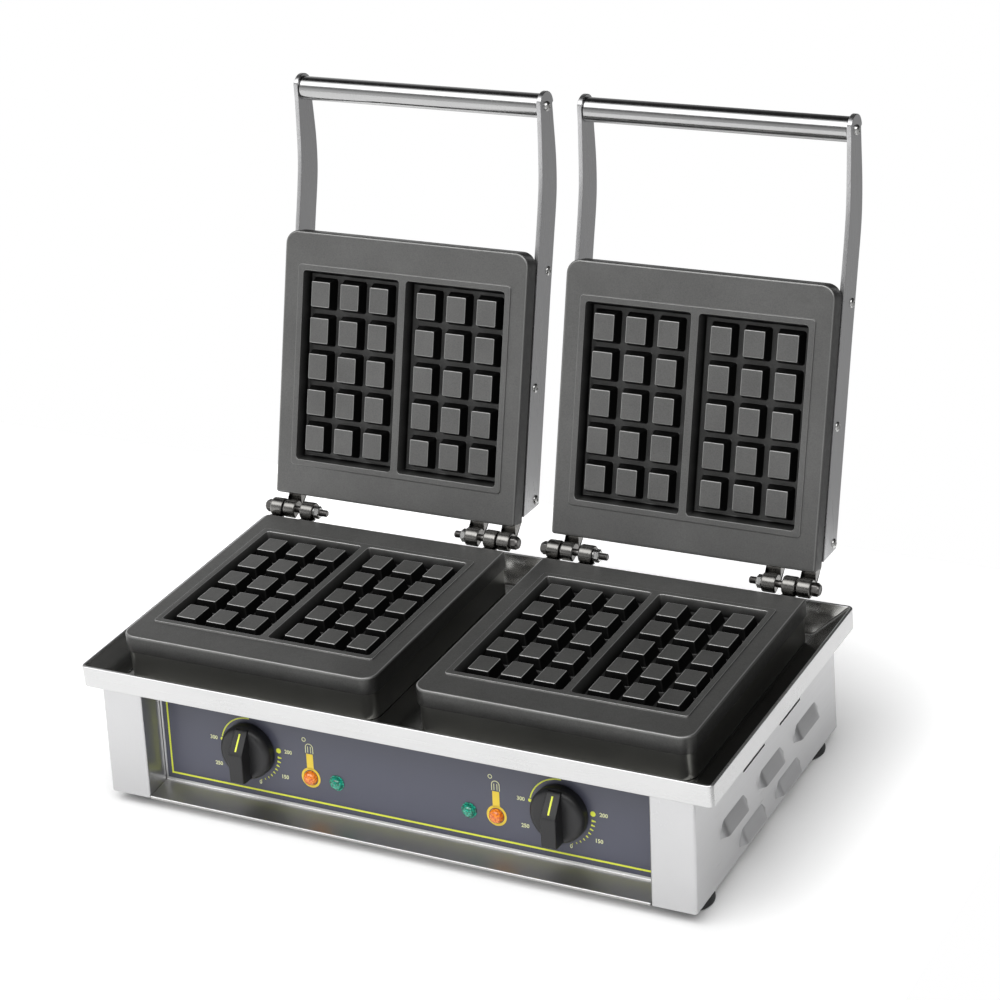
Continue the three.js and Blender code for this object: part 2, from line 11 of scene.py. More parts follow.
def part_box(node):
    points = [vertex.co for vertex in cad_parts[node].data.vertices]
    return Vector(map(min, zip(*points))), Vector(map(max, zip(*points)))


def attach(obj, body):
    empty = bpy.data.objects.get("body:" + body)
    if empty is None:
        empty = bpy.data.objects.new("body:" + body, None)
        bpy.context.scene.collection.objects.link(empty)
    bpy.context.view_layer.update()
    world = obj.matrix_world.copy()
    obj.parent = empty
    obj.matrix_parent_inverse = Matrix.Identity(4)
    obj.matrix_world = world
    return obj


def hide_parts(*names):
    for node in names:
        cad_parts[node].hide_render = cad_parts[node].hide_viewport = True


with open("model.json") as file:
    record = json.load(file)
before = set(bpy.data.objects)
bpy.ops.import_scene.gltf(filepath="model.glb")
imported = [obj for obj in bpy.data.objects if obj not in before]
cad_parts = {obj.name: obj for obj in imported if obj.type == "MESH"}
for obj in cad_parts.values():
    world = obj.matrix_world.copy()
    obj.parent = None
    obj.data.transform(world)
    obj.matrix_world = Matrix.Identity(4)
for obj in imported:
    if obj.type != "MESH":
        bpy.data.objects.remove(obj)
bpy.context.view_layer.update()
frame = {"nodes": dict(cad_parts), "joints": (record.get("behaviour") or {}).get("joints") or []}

SCENE = bpy.context.scene

# ---------------------------------------------------------------- places
# Lengths are millimetres in each piece's own frame, unless a name ends in _M. A place turns them
# into the row frame, in metres.
MM = Matrix.Scale(0.001, 4)
JOINTS = {joint["name"]: joint for joint in frame["joints"]}
SIDES = (("left", -1), ("right", 1))
LID_OPEN = math.radians(107.04)
LEAN = math.radians(5.2)


def lower_place(tag):
    """Iron frame: x across, -y away from the hinge, -z behind the parting face."""
    return Matrix.Translation(JOINTS[f"{tag}_lid_hinge"]["pos_m"]) @ MM


def upper_place(tag):
    """The same frame turned over and swung open."""
    turn = Matrix.Rotation(-LID_OPEN, 4, "X") @ Matrix.Rotation(math.pi, 4, "Y")
    return Matrix.Translation(JOINTS[f"{tag}_lid_hinge"]["pos_m"]) @ turn @ MM


KNOB_X = abs(JOINTS["left_dial_turn"]["pos_m"][0]) * 1000
KNOB_UP = 42.2


def panel_place(x=0.0, up=0.0):
    """Panel frame: x along the machine, -y out of the panel, z up the panel from its foot."""
    start = Vector(JOINTS["left_dial_turn"]["pos_m"])
    shift = Matrix.Translation((x + KNOB_X, 0, up - KNOB_UP))
    return Matrix.Translation(start) @ Matrix.Rotation(-LEAN, 4, "X") @ MM @ shift


# ---------------------------------------------------------------- materials
def build_nodes(name):
    mat = bpy.data.materials.new(name)
    mat.use_nodes = True
    tree = mat.node_tree
    return mat, tree, tree.nodes["Principled BSDF"]


def add(tree, kind, **values):
    node = tree.nodes.new(kind)
    for key, value in values.items():
        setattr(node, key, value)
    return node


def preset(node, **values):
    """Sets a node's own sockets by name, with _ standing for a space."""
    for key, value in values.items():
        node.inputs[key.replace("_", " ")].default_value = value
    return node


def noise_field(tree, scale, turn=(0, 0, 0), detail=2.0, rough=0.5):
    """Noise in the piece's own coordinates; scale is cycles per metre along each axis."""
    coords = add(tree, "ShaderNodeTexCoord")
    mapping = preset(add(tree, "ShaderNodeMapping"), Scale=scale, Rotation=turn)
    noise = add(tree, "ShaderNodeTexNoise")
    preset(noise, Scale=1.0, Detail=detail, Roughness=rough)
    tree.links.new(coords.outputs["Object"], mapping.inputs["Vector"])
    tree.links.new(mapping.outputs["Vector"], noise.inputs["Vector"])
    return noise.outputs["Fac"]


def remap(tree, source, low, high, start=0.25, end=0.75):
    node = add(tree, "ShaderNodeMapRange")
    preset(node, From_Min=start, From_Max=end, To_Min=low, To_Max=high)
    tree.links.new(source, node.inputs["Value"])
    return node.outputs["Result"]


def blend_colour(tree, factor, dark, light):
    node = add(tree, "ShaderNodeMix", data_type="RGBA")
    preset(node, A=(*dark, 1), B=(*light, 1))
    tree.links.new(factor, node.inputs["Factor"])
    return node.outputs["Result"]


def bump(tree, height, strength, distance, below=None):
    node = add(tree, "ShaderNodeBump")
    preset(node, Strength=strength, Distance=distance)
    tree.links.new(height, node.inputs["Height"])
    if below is not None:
        tree.links.new(below, node.inputs["Normal"])
    return node.outputs["Normal"]


def shade(colour, factor):
    return tuple(min(1.0, channel * factor) for channel in colour)


def steel(name, colour, rough, grain, turn=(0, 0, 0), depth=0.08, spread=0.06, stain=0.06):
    """Brushed sheet or bar: long fine lines, faint handling marks and cloudy gloss."""
    mat, tree, bsdf = build_nodes(name)
    preset(bsdf, Metallic=1.0)
    lines = noise_field(tree, grain, turn, detail=3.0, rough=0.65)
    clouds = noise_field(tree, (14, 14, 14), detail=4.0)
    smudge = remap(tree, clouds, 0.0, 1.0, 0.35, 0.7)
    tree.links.new(
        blend_colour(tree, smudge, shade(colour, 1 - stain), colour), bsdf.inputs["Base Color"]
    )
    total = add(tree, "ShaderNodeMath", operation="ADD")
    tree.links.new(remap(tree, lines, rough - spread, rough + spread), total.inputs[0])
    tree.links.new(remap(tree, clouds, -0.03, 0.04), total.inputs[1])
    tree.links.new(total.outputs[0], bsdf.inputs["Roughness"])
    tree.links.new(bump(tree, lines, depth, 0.0002), bsdf.inputs["Normal"])
    return mat


def cast_iron(name, colour, rough, edge_highlight):
    """Seasoned casting: sandy skin, a painted highlight at a tone above 1 and painted shade at a
    low one.
    """
    mat, tree, bsdf = build_nodes(name)
    preset(bsdf, Metallic=0.85)
    sand = noise_field(tree, (900, 900, 900), detail=3.0, rough=0.7)
    skin = noise_field(tree, (180, 180, 180), detail=4.0, rough=0.6)
    clouds = noise_field(tree, (16, 16, 16), detail=5.0, rough=0.6)
    mixed = blend_colour(tree, remap(tree, clouds, 0.0, 1.0, 0.3, 0.7), shade(colour, 0.82), colour)
    speck = add(tree, "ShaderNodeMix", data_type="RGBA", blend_type="MULTIPLY")
    speck.inputs["Factor"].default_value = 0.5
    tree.links.new(mixed, speck.inputs["A"])
    tree.links.new(
        blend_colour(tree, remap(tree, sand, 0.0, 1.0, 0.3, 0.6), (0.6, 0.6, 0.6), (1, 1, 1)),
        speck.inputs["B"],
    )
    tone = add(tree, "ShaderNodeAttribute", attribute_name="tone")
    # Painted highlight: a tone above 1 lightens the colour towards the edge colour.
    highlight_mask = remap(tree, tone.outputs["Fac"], 0.0, 1.0, 1.0, 1.5)
    edge = add(tree, "ShaderNodeMix", data_type="RGBA")
    edge.inputs["B"].default_value = (*edge_highlight, 1)
    tree.links.new(highlight_mask, edge.inputs["Factor"])
    tree.links.new(speck.outputs["Result"], edge.inputs["A"])
    # Painted shade: a low tone darkens the colour towards black.
    painted_shade = add(tree, "ShaderNodeMix", data_type="RGBA")
    painted_shade.inputs["A"].default_value = (0.004, 0.004, 0.004, 1)
    tree.links.new(tone.outputs["Fac"], painted_shade.inputs["Factor"])
    tree.links.new(edge.outputs["Result"], painted_shade.inputs["B"])
    tree.links.new(painted_shade.outputs["Result"], bsdf.inputs["Base Color"])
    tree.links.new(remap(tree, skin, rough - 0.07, rough + 0.08), bsdf.inputs["Roughness"])
    coarse = bump(tree, skin, 0.12, 0.0006)
    tree.links.new(bump(tree, sand, 0.18, 0.0003, coarse), bsdf.inputs["Normal"])
    return mat


def moulded(name, colour, rough, grain=1400, depth=0.15, mottle=0.12, coat=0.0):
    """Moulded, printed or painted skin: fine texture and a faint mottle."""
    mat, tree, bsdf = build_nodes(name)
    preset(bsdf, Coat_Weight=coat, Coat_Roughness=0.12)
    fine = noise_field(tree, (grain,) * 3, detail=2.0)
    broad = noise_field(tree, (40, 40, 40), detail=4.0)
    tree.links.new(
        blend_colour(tree, remap(tree, broad, 0.0, 1.0), shade(colour, 1 - mottle), colour),
        bsdf.inputs["Base Color"],
    )
    tree.links.new(remap(tree, broad, rough - 0.05, rough + 0.06), bsdf.inputs["Roughness"])
    tree.links.new(bump(tree, fine, depth, 0.0002), bsdf.inputs["Normal"])
    return mat


def lens(name, deep, bright, glow):
    """Ribbed lamp lens: facets of two tones under a clear gloss."""
    mat, tree, bsdf = build_nodes(name)
    preset(bsdf, Roughness=0.18, Coat_Weight=0.8, Coat_Roughness=0.05, Emission_Strength=glow)
    coords = add(tree, "ShaderNodeTexCoord")
    cells = add(tree, "ShaderNodeTexVoronoi")
    cells.inputs["Scale"].default_value = 620
    tree.links.new(coords.outputs["Object"], cells.inputs["Vector"])
    facets = remap(tree, cells.outputs["Distance"], 0.0, 1.0, 0.1, 0.8)
    tone = blend_colour(tree, facets, bright, deep)
    tree.links.new(tone, bsdf.inputs["Base Color"])
    tree.links.new(tone, bsdf.inputs["Emission Color"])
    tree.links.new(bump(tree, cells.outputs["Distance"], 0.35, 0.0006), bsdf.inputs["Normal"])
    return mat


LID_GRAIN = (LID_OPEN - math.pi / 2, 0, 0)
MAT = {
    "band": steel("steel_band", (0.60, 0.60, 0.60), 0.30, (7, 700, 1400)),
    "shell": steel("steel_shell", (0.55, 0.55, 0.555), 0.33, (500, 9, 900), stain=0.05),
    # The louvres are the same sheet as the shell, in a darker copy of its steel: painted shade on
    # their faces.
    "louvre": steel("steel_louvre_painted_shade", (0.35, 0.35, 0.355), 0.36, (500, 9, 900), stain=0.05),
    "tray": steel(
        "steel_tray", (0.38, 0.378, 0.365), 0.20, (7, 1100, 1400), depth=0.012, spread=0.02
    ),
    "ledge": steel(
        "steel_ledge", (0.45, 0.445, 0.435), 0.36, (7, 900, 1200), depth=0.03, spread=0.03
    ),
    # Very bright steel for thin rods and strips that stand for highlights: painted highlights.
    "painted_highlight": steel("steel_painted_highlight", (0.86, 0.86, 0.86), 0.42, (9, 500, 500), depth=0.03, spread=0.03),
    "arm": steel("steel_arm", (0.50, 0.50, 0.505), 0.30, (900, 900, 8), LID_GRAIN),
    "tube": steel("steel_tube", (0.42, 0.42, 0.42), 0.15, (420, 30, 30), depth=0.05),
    "cover": steel("steel_cover", (0.58, 0.58, 0.585), 0.32, (8, 900, 900), LID_GRAIN),
    # The skirt steel is darkened to the shade under the castings: painted shade.
    "skirt": steel("steel_skirt_painted_shade", (0.21, 0.21, 0.20), 0.36, (9, 9, 900), depth=0.02, spread=0.02),
    "zinc": steel("steel_zinc", (0.62, 0.62, 0.61), 0.24, (300, 300, 300), depth=0.04),
    "bolt": steel("steel_dark", (0.16, 0.155, 0.15), 0.30, (400, 400, 400), depth=0.06),
    "sheath": steel("steel_sheath", (0.32, 0.28, 0.24), 0.45, (300, 300, 300), depth=0.1),
    "iron": cast_iron("cast_iron_seasoned", (0.175, 0.175, 0.172), 0.41, (0.36, 0.36, 0.355)),
    # A lighter copy of the same iron, with a brighter edge colour, for the lower castings: painted
    # light and painted highlights.
    "iron_low": cast_iron("cast_iron_lower_painted_light", (0.205, 0.205, 0.20), 0.38, (0.9, 0.9, 0.89)),
    "lug": steel("cast_lug", (0.24, 0.235, 0.225), 0.25, (260, 260, 260), depth=0.25, stain=0.3),
    "fascia": moulded("fascia_slate", (0.070, 0.073, 0.104), 0.36, 2200, 0.1, 0.05, coat=0.15),
    "yellow": moulded("print_yellow", (0.76, 0.82, 0.07), 0.42, 1800, 0.1, 0.06),
    "pale": moulded("print_pale", (0.72, 0.74, 0.42), 0.42, 1800, 0.1, 0.06),
    "ring": moulded("print_amber", (0.84, 0.62, 0.05), 0.42, 1800, 0.1, 0.06),
    "knob": moulded("knob_black", (0.009, 0.009, 0.010), 0.40, 1500, 0.12, 0.2),
    "plastic": moulded("gland_black", (0.014, 0.014, 0.015), 0.42, 1200, 0.15, 0.2),
    "rubber": moulded("foot_rubber", (0.012, 0.012, 0.012), 0.62, 700, 0.3, 0.3),
    "ceramic": moulded("terminal_ceramic", (0.72, 0.70, 0.62), 0.5, 900, 0.2, 0.1),
    "amber": lens("lens_amber", (0.50, 0.075, 0.002), (1.0, 0.30, 0.015), 0.12),
    "green": lens("lens_green", (0.0, 0.07, 0.045), (0.004, 0.46, 0.30), 0.12),
}


# ---------------------------------------------------------------- mesh building
class Shape:
    """Vertices and faces of one piece, gathered island by island."""

    def __init__(self):
        self.points = []
        self.faces = []

    def loop(self, points):
        first = len(self.points)
        self.points.extend(Vector(p) for p in points)
        return list(range(first, len(self.points)))

    def bridge(self, a, b, closed=True):
        count = len(a) if closed else len(a) - 1
        for i in range(count):
            j = (i + 1) % len(a)
            self.faces.append((a[i], a[j], b[j], b[i]))

    def loft(self, loops, caps=(True, True)):
        rings = [self.loop(points) for points in loops]
        for a, b in zip(rings, rings[1:]):
            self.bridge(a, b)
        if caps[0]:
            self.faces.append(tuple(reversed(rings[0])))
        if caps[1]:
            self.faces.append(tuple(rings[-1]))
        return rings

    def fill(self, outline, holes):
        """Flat face with holes, between loops that are already there."""
        loops = [outline, *holes]
        order = [i for ring in loops for i in ring]
        for tri in tessellate_polygon([[self.points[i] for i in ring] for ring in loops]):
            self.faces.append(tuple(order[i] for i in tri))

    def lathe(self, profile, place=Matrix.Identity(4), steps=48, wobble=None):
        """Turns (radius, height) pairs round the local z and caps both ends."""
        rings = []
        for radius, height in profile:
            ring = []
            for i in range(steps):
                a = 2 * math.pi * i / steps
                r = radius * (wobble(a, radius, height) if wobble else 1.0)
                ring.append(place @ Vector((r * math.cos(a), r * math.sin(a), height)))
            rings.append(ring)
        return self.loft(rings)


def rounded(x0, x1, y0, y1, r, steps=6, top=None):
    """Rectangle with rounded corners, anticlockwise; top is the radius of the two corners at y1."""
    t = r if top is None else top
    corners = (
        (x1 - t, y1 - t, t), (x0 + t, y1 - t, t), (x0 + r, y0 + r, r), (x1 - r, y0 + r, r),
    )
    points = []
    for k, (cx, cy, radius) in enumerate(corners):
        for i in range(steps + 1):
            a = (k + i / steps) * math.pi / 2
            points.append((cx + radius * math.cos(a), cy + radius * math.sin(a)))
    return points


def inset_ring(box, r, inset, z, steps=6, least=1.0, top=None):
    x0, x1, y0, y1 = box
    radius = max(r - inset, least)
    far = radius if top is None else max(top - inset, least)
    ring = rounded(x0 + inset, x1 - inset, y0 + inset, y1 - inset, radius, steps, far)
    return [(x, y, z) for x, y in ring]


def finish(name, shape, place, mat, body, nodes=(), angle=38, tone=None):
    """Turns a shape into a piece of the scene that rides on a body."""
    mesh = bpy.data.meshes.new(name)
    mesh.from_pydata([place @ p for p in shape.points], [], shape.faces)
    work = bmesh.new()
    work.from_mesh(mesh)
    bmesh.ops.remove_doubles(work, verts=work.verts, dist=2e-6)
    bmesh.ops.dissolve_degenerate(work, edges=work.edges, dist=1e-6)
    bmesh.ops.recalc_face_normals(work, faces=work.faces)
    work.to_mesh(mesh)
    work.free()
    mesh.shade_smooth()
    mesh.set_sharp_from_angle(angle=math.radians(angle))
    mesh.materials.append(mat)
    # The tone attribute carries painted light: painted shade below 1, painted highlights above it.
    if tone:
        back = place.inverted()
        field = mesh.attributes.new("tone", "FLOAT", "POINT")
        for vertex in mesh.vertices:
            field.data[vertex.index].value = tone(back @ vertex.co)
    piece = bpy.data.objects.new(name, mesh)
    SCENE.collection.objects.link(piece)
    weight = piece.modifiers.new("weighted", "WEIGHTED_NORMAL")
    weight.keep_sharp = True
    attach(piece, body)
    if nodes:
        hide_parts(*nodes)


def repaint(node, mat):
    for entry in frame["nodes"][node].material_slots:
        entry.material = mat


AXIS_X = Matrix.Rotation(math.pi / 2, 4, "Y")
AXIS_OUT = Matrix.Rotation(math.pi / 2, 4, "X")


def sideways(way):
    """Points the axis of a turned part along x, to the side that way gives."""
    return Matrix.Rotation(way * math.pi / 2, 4, "Y")


def hexagon(a, r, z):
    """Wobble for Shape.lathe that turns a circle into the hexagon round it."""
    return 1 / math.cos((a + math.pi / 6) % (math.pi / 3) - math.pi / 6)


# ---------------------------------------------------------------- iron castings
PLATE = (-116, 116, -240, -12.5)
LIP = (-101.6, 101.6, -212.2, -38.8)
LAND, LIP_TOP, BLOCK_TOP, FLOOR, THICK = -1.6, -0.5, -1.6, -11.4, -17
REAR_R = 2.5
POCKET = (3.2, 96.6, -207.2, -43.8)
COLUMNS = (22.75, 51.16, 79.57)
ROWS, FIRST_ROW, ROW_PITCH = 5, 63.5, 31
BLOCK_HALF = (8.9, 10.8)
LUGS = ((-116, -104.5), (-86.5, -74.5), (92, 103.2))


def mould_block(shape, x, y):
    """Tapered block: root fillet, drafted sides and a rounded crown. Returns its root loop."""
    rings = []
    for z, grow in (
        (FLOOR, 3.1), (FLOOR + 0.15, 2.75), (FLOOR + 0.6, 2.5), (-2.6, 0.25), (-2.1, 0.1),
        (-1.88, -0.05), (-1.7, -0.3), (BLOCK_TOP, -0.75), (BLOCK_TOP, -1.15),
    ):
        w, d = BLOCK_HALF[0] + grow, BLOCK_HALF[1] + grow
        ring = rounded(x - w, x + w, y - d, y + d, max(0.9 + grow * 0.4, 0.6), 3)
        rings.append([(px, py, z) for px, py in ring])
    return shape.loft(rings, caps=(False, True))[0]


def casting():
    shape = Shape()
    outer = [
        inset_ring(PLATE, 12, inset, z, 10, 0.8, REAR_R)
        for z, inset in (
            (THICK, 1.2), (THICK + 0.3, 0.4), (THICK + 0.9, 0), (-3.6, 0), (-2.7, 0.15),
            (-2.1, 0.55), (-1.75, 1.1), (LAND, 1.9), (LAND, 2.7),
        )
    ]
    rings = shape.loft(outer, caps=(True, False))
    lip = [
        shape.loop(inset_ring(LIP, 3, inset, z, 10))
        for z, inset in (
            (LAND, -1.0), (LAND, -0.45), (LAND + 0.08, -0.15), (LAND + 0.3, 0), (-0.75, 0.05),
            (-0.57, 0.2), (LIP_TOP, 0.55),
        )
    ]
    shape.bridge(rings[-1], lip[0])
    for a, b in zip(lip, lip[1:]):
        shape.bridge(a, b)
    mouths = []
    for side in (-1, 1):
        x0, x1 = sorted((side * POCKET[0], side * POCKET[1]))
        pocket = (x0, x1, *POCKET[2:])
        walls = shape.loft([
            inset_ring(pocket, 3, inset, z, 5)
            for z, inset in (
                (LIP_TOP, -0.45), (LIP_TOP - 0.08, -0.15), (LIP_TOP - 0.35, 0.05), (-1.6, 0.3),
                (FLOOR + 1.0, 2.3), (FLOOR + 0.25, 2.8), (FLOOR, 3.6),
            )
        ], caps=(False, False))
        mouths.append(walls[0])
        roots = [
            mould_block(shape, side * column, -(FIRST_ROW + ROW_PITCH * row))
            for column in COLUMNS for row in range(ROWS)
        ]
        shape.fill(walls[-1], roots)
    shape.fill(lip[-1], mouths)
    return shape


def mould_painted_light(point):
    """Painted shade low on the mould walls, middling on mould floors, 1 on faces, painted
    highlights higher on the edge rings.
    """
    # Tones above 1 are painted highlights on edge rings; tones below 1 are painted shade on walls,
    # floors and low outer sides.
    depth = -point.z
    if 0.52 < depth < 0.62:
        return 1.3
    if abs(point.x) > 97.5 or point.y > -43 or point.y < -208:
        return (1.25 if 1.7 < depth < 1.8 else 1.0) if depth < 3 else 0.5
    if depth < 1.95:
        return 1.5 if 1.65 < depth < 1.75 else 1.0
    return 0.42 if depth > -FLOOR - 0.2 else 0.05


def lug_outline(x, inset):
    radius = 8 - inset
    points = []
    for i in range(29):
        a = math.radians(248 - i * 248 / 28 + 22)
        points.append((x, radius * math.cos(a), radius * math.sin(a)))
    points.append((x, -14, THICK + 0.6 + inset))
    points.append((x, -14, -2.4 - inset))
    return points


def hinge_lugs():
    """Barrel-ended ears, two for the fork and one for the tongue."""
    shape = Shape()
    for x0, x1 in LUGS:
        shape.loft([
            lug_outline(x, inset)
            for x, inset in (
                (x0, 1.1), (x0 + 0.2, 0.5), (x0 + 0.8, 0.1), (x0 + 1.6, 0), (x1 - 1.6, 0),
                (x1 - 0.8, 0.1), (x1 - 0.2, 0.5), (x1, 1.1),
            )
        ])
    return shape


# ---------------------------------------------------------------- drip tray
def drip_tray():
    """Upright outer band with a rolled top, and the sloping pan inside it."""
    low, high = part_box("drip_tray")
    box = (low.x * 1000, high.x * 1000, low.y * 1000, high.y * 1000)
    z0, z1 = low.z * 1000, high.z * 1000
    band_profile = (
        (2.4, z1 - 1.9), (1.2, z1 - 2.6), (1.2, z0 + 0.5), (1.0, z0 + 0.1), (0.6, z0),
        (0.2, z0 + 0.1), (0, z0 + 0.5), (0, z1 - 1.1), (0.15, z1 - 0.45), (0.5, z1 - 0.1),
        (1.0, z1), (1.9, z1), (2.3, z1 - 0.15), (2.6, z1 - 0.5),
    )
    pan_profile = (
        (25.6, z0), (24.6, z0 + 0.2), (3.4, z1 - 2.4), (2.5, z1 - 1.7), (2.6, z1 - 0.5),
        (23.6, z0 + 2.6), (25.2, z0 + 1.7), (27.2, z0 + 1.2),
    )
    band, pan = Shape(), Shape()
    band_rings, pan_rings = (
        [inset_ring(box, 5, inset, z, 6, 2.2) for inset, z in profile]
        for profile in (band_profile, pan_profile)
    )
    rings = band.loft(band_rings, caps=(False, False))
    band.bridge(rings[-1], rings[0])
    pan.loft(pan_rings)
    return band, pan


# ---------------------------------------------------------------- housing
HALF = 259.0
INNER = 222.0
BOTTOM, TOP, CHEEK_TOP = 10.0, 105.0, 101.4
FRONT, REAR, CHEEK = -201.7, 84.7, -167.7
SHEET = 1.5
# Each louvre is (middle in y, foot, crest), and each slit is its middle in y.
LOUVRES = (
    (18.5, 45.5, 58.5), (-54, 45.5, 58.5), (-127, 45.5, 58.5), (-22, 18.5, 31), (-94, 18.5, 31),
)
LOUVRE_HALF, LOUVRE_MOUTH_HALF, LOUVRE_OUT = 26, 17, 4.6
SLITS = (-12, -84.5)
SLIT_FOOT, SLIT_TOP, SLIT_HALF = 75.7, 77.7, 21


def leaned(x, y, z):
    """Leans the front of the housing back with the control panel."""
    if y < CHEEK + 1:
        y += (z - BOTTOM) * math.tan(LEAN)
    return (x, y, z)


def bent_path():
    """Outer and inner line of the sheet in plan, with a small radius at each of its six bends."""
    corners = [
        (INNER, CHEEK), (INNER, FRONT), (HALF, FRONT), (HALF, REAR), (-HALF, REAR), (-HALF, FRONT),
        (-INNER, FRONT), (-INNER, CHEEK),
    ]
    bend = 2.4
    outer, inner = [], []
    for k, (x, y) in enumerate(corners):
        if k in (0, len(corners) - 1):
            side = 1 if x > 0 else -1
            outer.append((x, y))
            inner.append((x + side * SHEET, y))
            continue
        before, after = Vector(corners[k - 1]), Vector(corners[k + 1])
        here = Vector((x, y))
        into, away = (here - before).normalized(), (after - here).normalized()
        centre = here - into * bend + away * bend
        for i in range(6):
            a = math.pi / 2 * i / 5
            spoke = away * -math.cos(a) + into * math.sin(a)
            outer.append(tuple(centre + spoke * bend))
            inner.append(tuple(centre + spoke * (bend - SHEET)))
    return outer, inner


def wall_hole(y, z0, z1, half):
    return [(y - half, z0), (y + half, z0), (y + half, z1), (y - half, z1)]


def housing():
    """Bent sheet round the back and sides, with its slits and the openings behind the louvres."""
    outer, inner = bent_path()
    shape = Shape()

    def top_of(x, y):
        on_cheek = abs(x) < INNER + SHEET + 0.1 and FRONT + 6 < y < CHEEK + 1
        return CHEEK_TOP if on_cheek else TOP

    rows = []
    for line, level in ((outer, BOTTOM), (outer, TOP), (inner, TOP), (inner, BOTTOM)):
        ring = []
        for x, y in line:
            z = top_of(x, y) if level == TOP else level
            ring.append(leaned(x, y, z))
        rows.append(shape.loop(ring))
    low_out, high_out, high_in, low_in = rows
    sides = []
    for i in range(len(outer) - 1):
        x, y = outer[i]
        flat = abs(abs(x) - HALF) < 0.01 and abs(outer[i + 1][1] - y) > 100
        if flat:
            sides.append(i)
        else:
            shape.faces.append((low_out[i], low_out[i + 1], high_out[i + 1], high_out[i]))
            shape.faces.append((high_in[i], high_in[i + 1], low_in[i + 1], low_in[i]))
        shape.faces.append((high_out[i], high_out[i + 1], high_in[i + 1], high_in[i]))
        shape.faces.append((low_in[i], low_in[i + 1], low_out[i + 1], low_out[i]))
    for end in (0, len(outer) - 1):
        shape.faces.append((low_out[end], high_out[end], high_in[end], low_in[end]))
    for i in sides:
        side = 1 if outer[i][0] > 0 else -1
        faces = {}
        for line, depth in (((low_out, high_out), 0.0), ((low_in, high_in), SHEET)):
            edge = [line[0][i], line[0][i + 1], line[1][i + 1], line[1][i]]
            holes = [wall_hole(y, SLIT_FOOT, SLIT_TOP, SLIT_HALF) for y in SLITS]
            holes += [
                wall_hole(y, z0 + 0.4, z0 + 3.2, LOUVRE_MOUTH_HALF) for y, z0, _ in LOUVRES
            ]
            loops = [
                shape.loop([(side * (HALF - depth), y, z) for y, z in hole]) for hole in holes
            ]
            shape.fill(edge, loops)
            faces[depth] = loops
        for a, b in zip(faces[0.0], faces[SHEET]):
            shape.bridge(a, b)
    return shape


def louvres():
    shape = Shape()
    for side in (-1, 1):
        for louvre in LOUVRES:
            hood(shape, side, *louvre)
    return shape


def hood(shape, side, y, z0, z1):
    """Pressed louvre: flush at its top and ends, standing proud along its lower edge."""
    across, up = 24, 8
    half = LOUVRE_HALF
    skins = []
    for lift in (0.0, -0.9):
        grid = []
        for j in range(up + 1):
            v = j / up
            row = []
            for i in range(across + 1):
                u = -half + 2 * half * i / across
                end = min(1.0, max(0.0, (half - abs(u)) / 8.0))
                end = end * end * (3 - 2 * end)
                out = LOUVRE_OUT * end * (1 - v) - 0.05 + lift
                crest = (z1 - z0) * (0.45 + 0.55 * end)
                row.append((side * (HALF + out), y + u, z0 + crest * v))
            grid.append(shape.loop(row))
        skins.append(grid)
    for grid in skins:
        for a, b in zip(grid, grid[1:]):
            shape.bridge(a, b, closed=False)
    front, back = skins
    shape.bridge(front[0], back[0], closed=False)
    shape.bridge(front[-1], back[-1], closed=False)
    for end in (0, across):
        shape.bridge([row[end] for row in front], [row[end] for row in back], closed=False)


def ledge():
    """Base pan with its rolled nose under the control panel."""
    low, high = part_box("base_pan")
    shape = Shape()
    panel_foot = -175.34
    nose = (
        (FRONT + 0.9, 9.0), (FRONT + 0.3, 9.3), (FRONT, 9.9), (FRONT + 0.1, 10.7),
        (FRONT + 0.6, 11.2),
    )
    rest = (
        (FRONT + 1.5, 11.45), (FRONT + 3, 11.6), (panel_foot - 2.4, 13.35),
        (panel_foot - 1.2, 13.7), (panel_foot - 0.8, 13.5), (panel_foot - 1.0, 9.2),
        (panel_foot - 1.6, 8.8), (FRONT + 1.8, 8.8),
    )
    shape.loft([
        [(x, y + inset, z) for y, z in nose] + [(x, y - inset, z) for y, z in rest]
        for x, inset in ((-221.7, 0.2), (-221.4, 0), (221.4, 0), (221.7, 0.2))
    ])
    box = (low.x * 1000, high.x * 1000, CHEEK + 1, high.y * 1000)
    shape.loft([
        inset_ring(box, 4, inset, z, 4)
        for inset, z in ((0.4, 10.3), (0, 10.6), (0, 11.5), (0.4, 11.8))
    ])
    return shape


# ---------------------------------------------------------------- lid pieces
def smooth_line(points, steps=6):
    """Catmull-Rom line through the points."""
    line = []
    for i in range(len(points) - 1):
        p0, p1 = points[max(i - 1, 0)], points[i]
        p2, p3 = points[i + 1], points[min(i + 2, len(points) - 1)]
        for k in range(steps):
            t = k / steps
            line.append(tuple(
                0.5 * (2 * b + (c - a) * t + (2 * a - 5 * b + 4 * c - d) * t * t
                       + (3 * b - a - 3 * c + d) * t ** 3)
                for a, b, c, d in zip(p0, p1, p2, p3)
            ))
    line.append(points[-1])
    return line


ARM_IN, ARM_OUT = 113.0, 117.0
ARM_END_R = 12.4
ARM_SCREWS = ((224, 37.5), (127, 25.5), (31, 38))
GRIP_V, GRIP_W = 359.5, 17.5


def arm_outline():
    """Side view of an arm, as (away from the hinge, behind the parting face)."""
    back = smooth_line([
        (200, 44.5), (250, 45.2), (281, 45.6), (300, 44), (322, 39.5), (349, 31.5), (362, 27.6),
    ])
    cap = [
        (GRIP_V + ARM_END_R * math.cos(math.radians(70 - i * 9.25)),
         GRIP_W + ARM_END_R * math.sin(math.radians(70 - i * 9.25)))
        for i in range(17)
    ]
    front = smooth_line([(350, 8.4), (323, 13.5), (298, 17.4), (275, 18.4), (250, 18.2), (236, 18)])
    return [(19, 18), (26, 44.5), *back, *cap, *front]


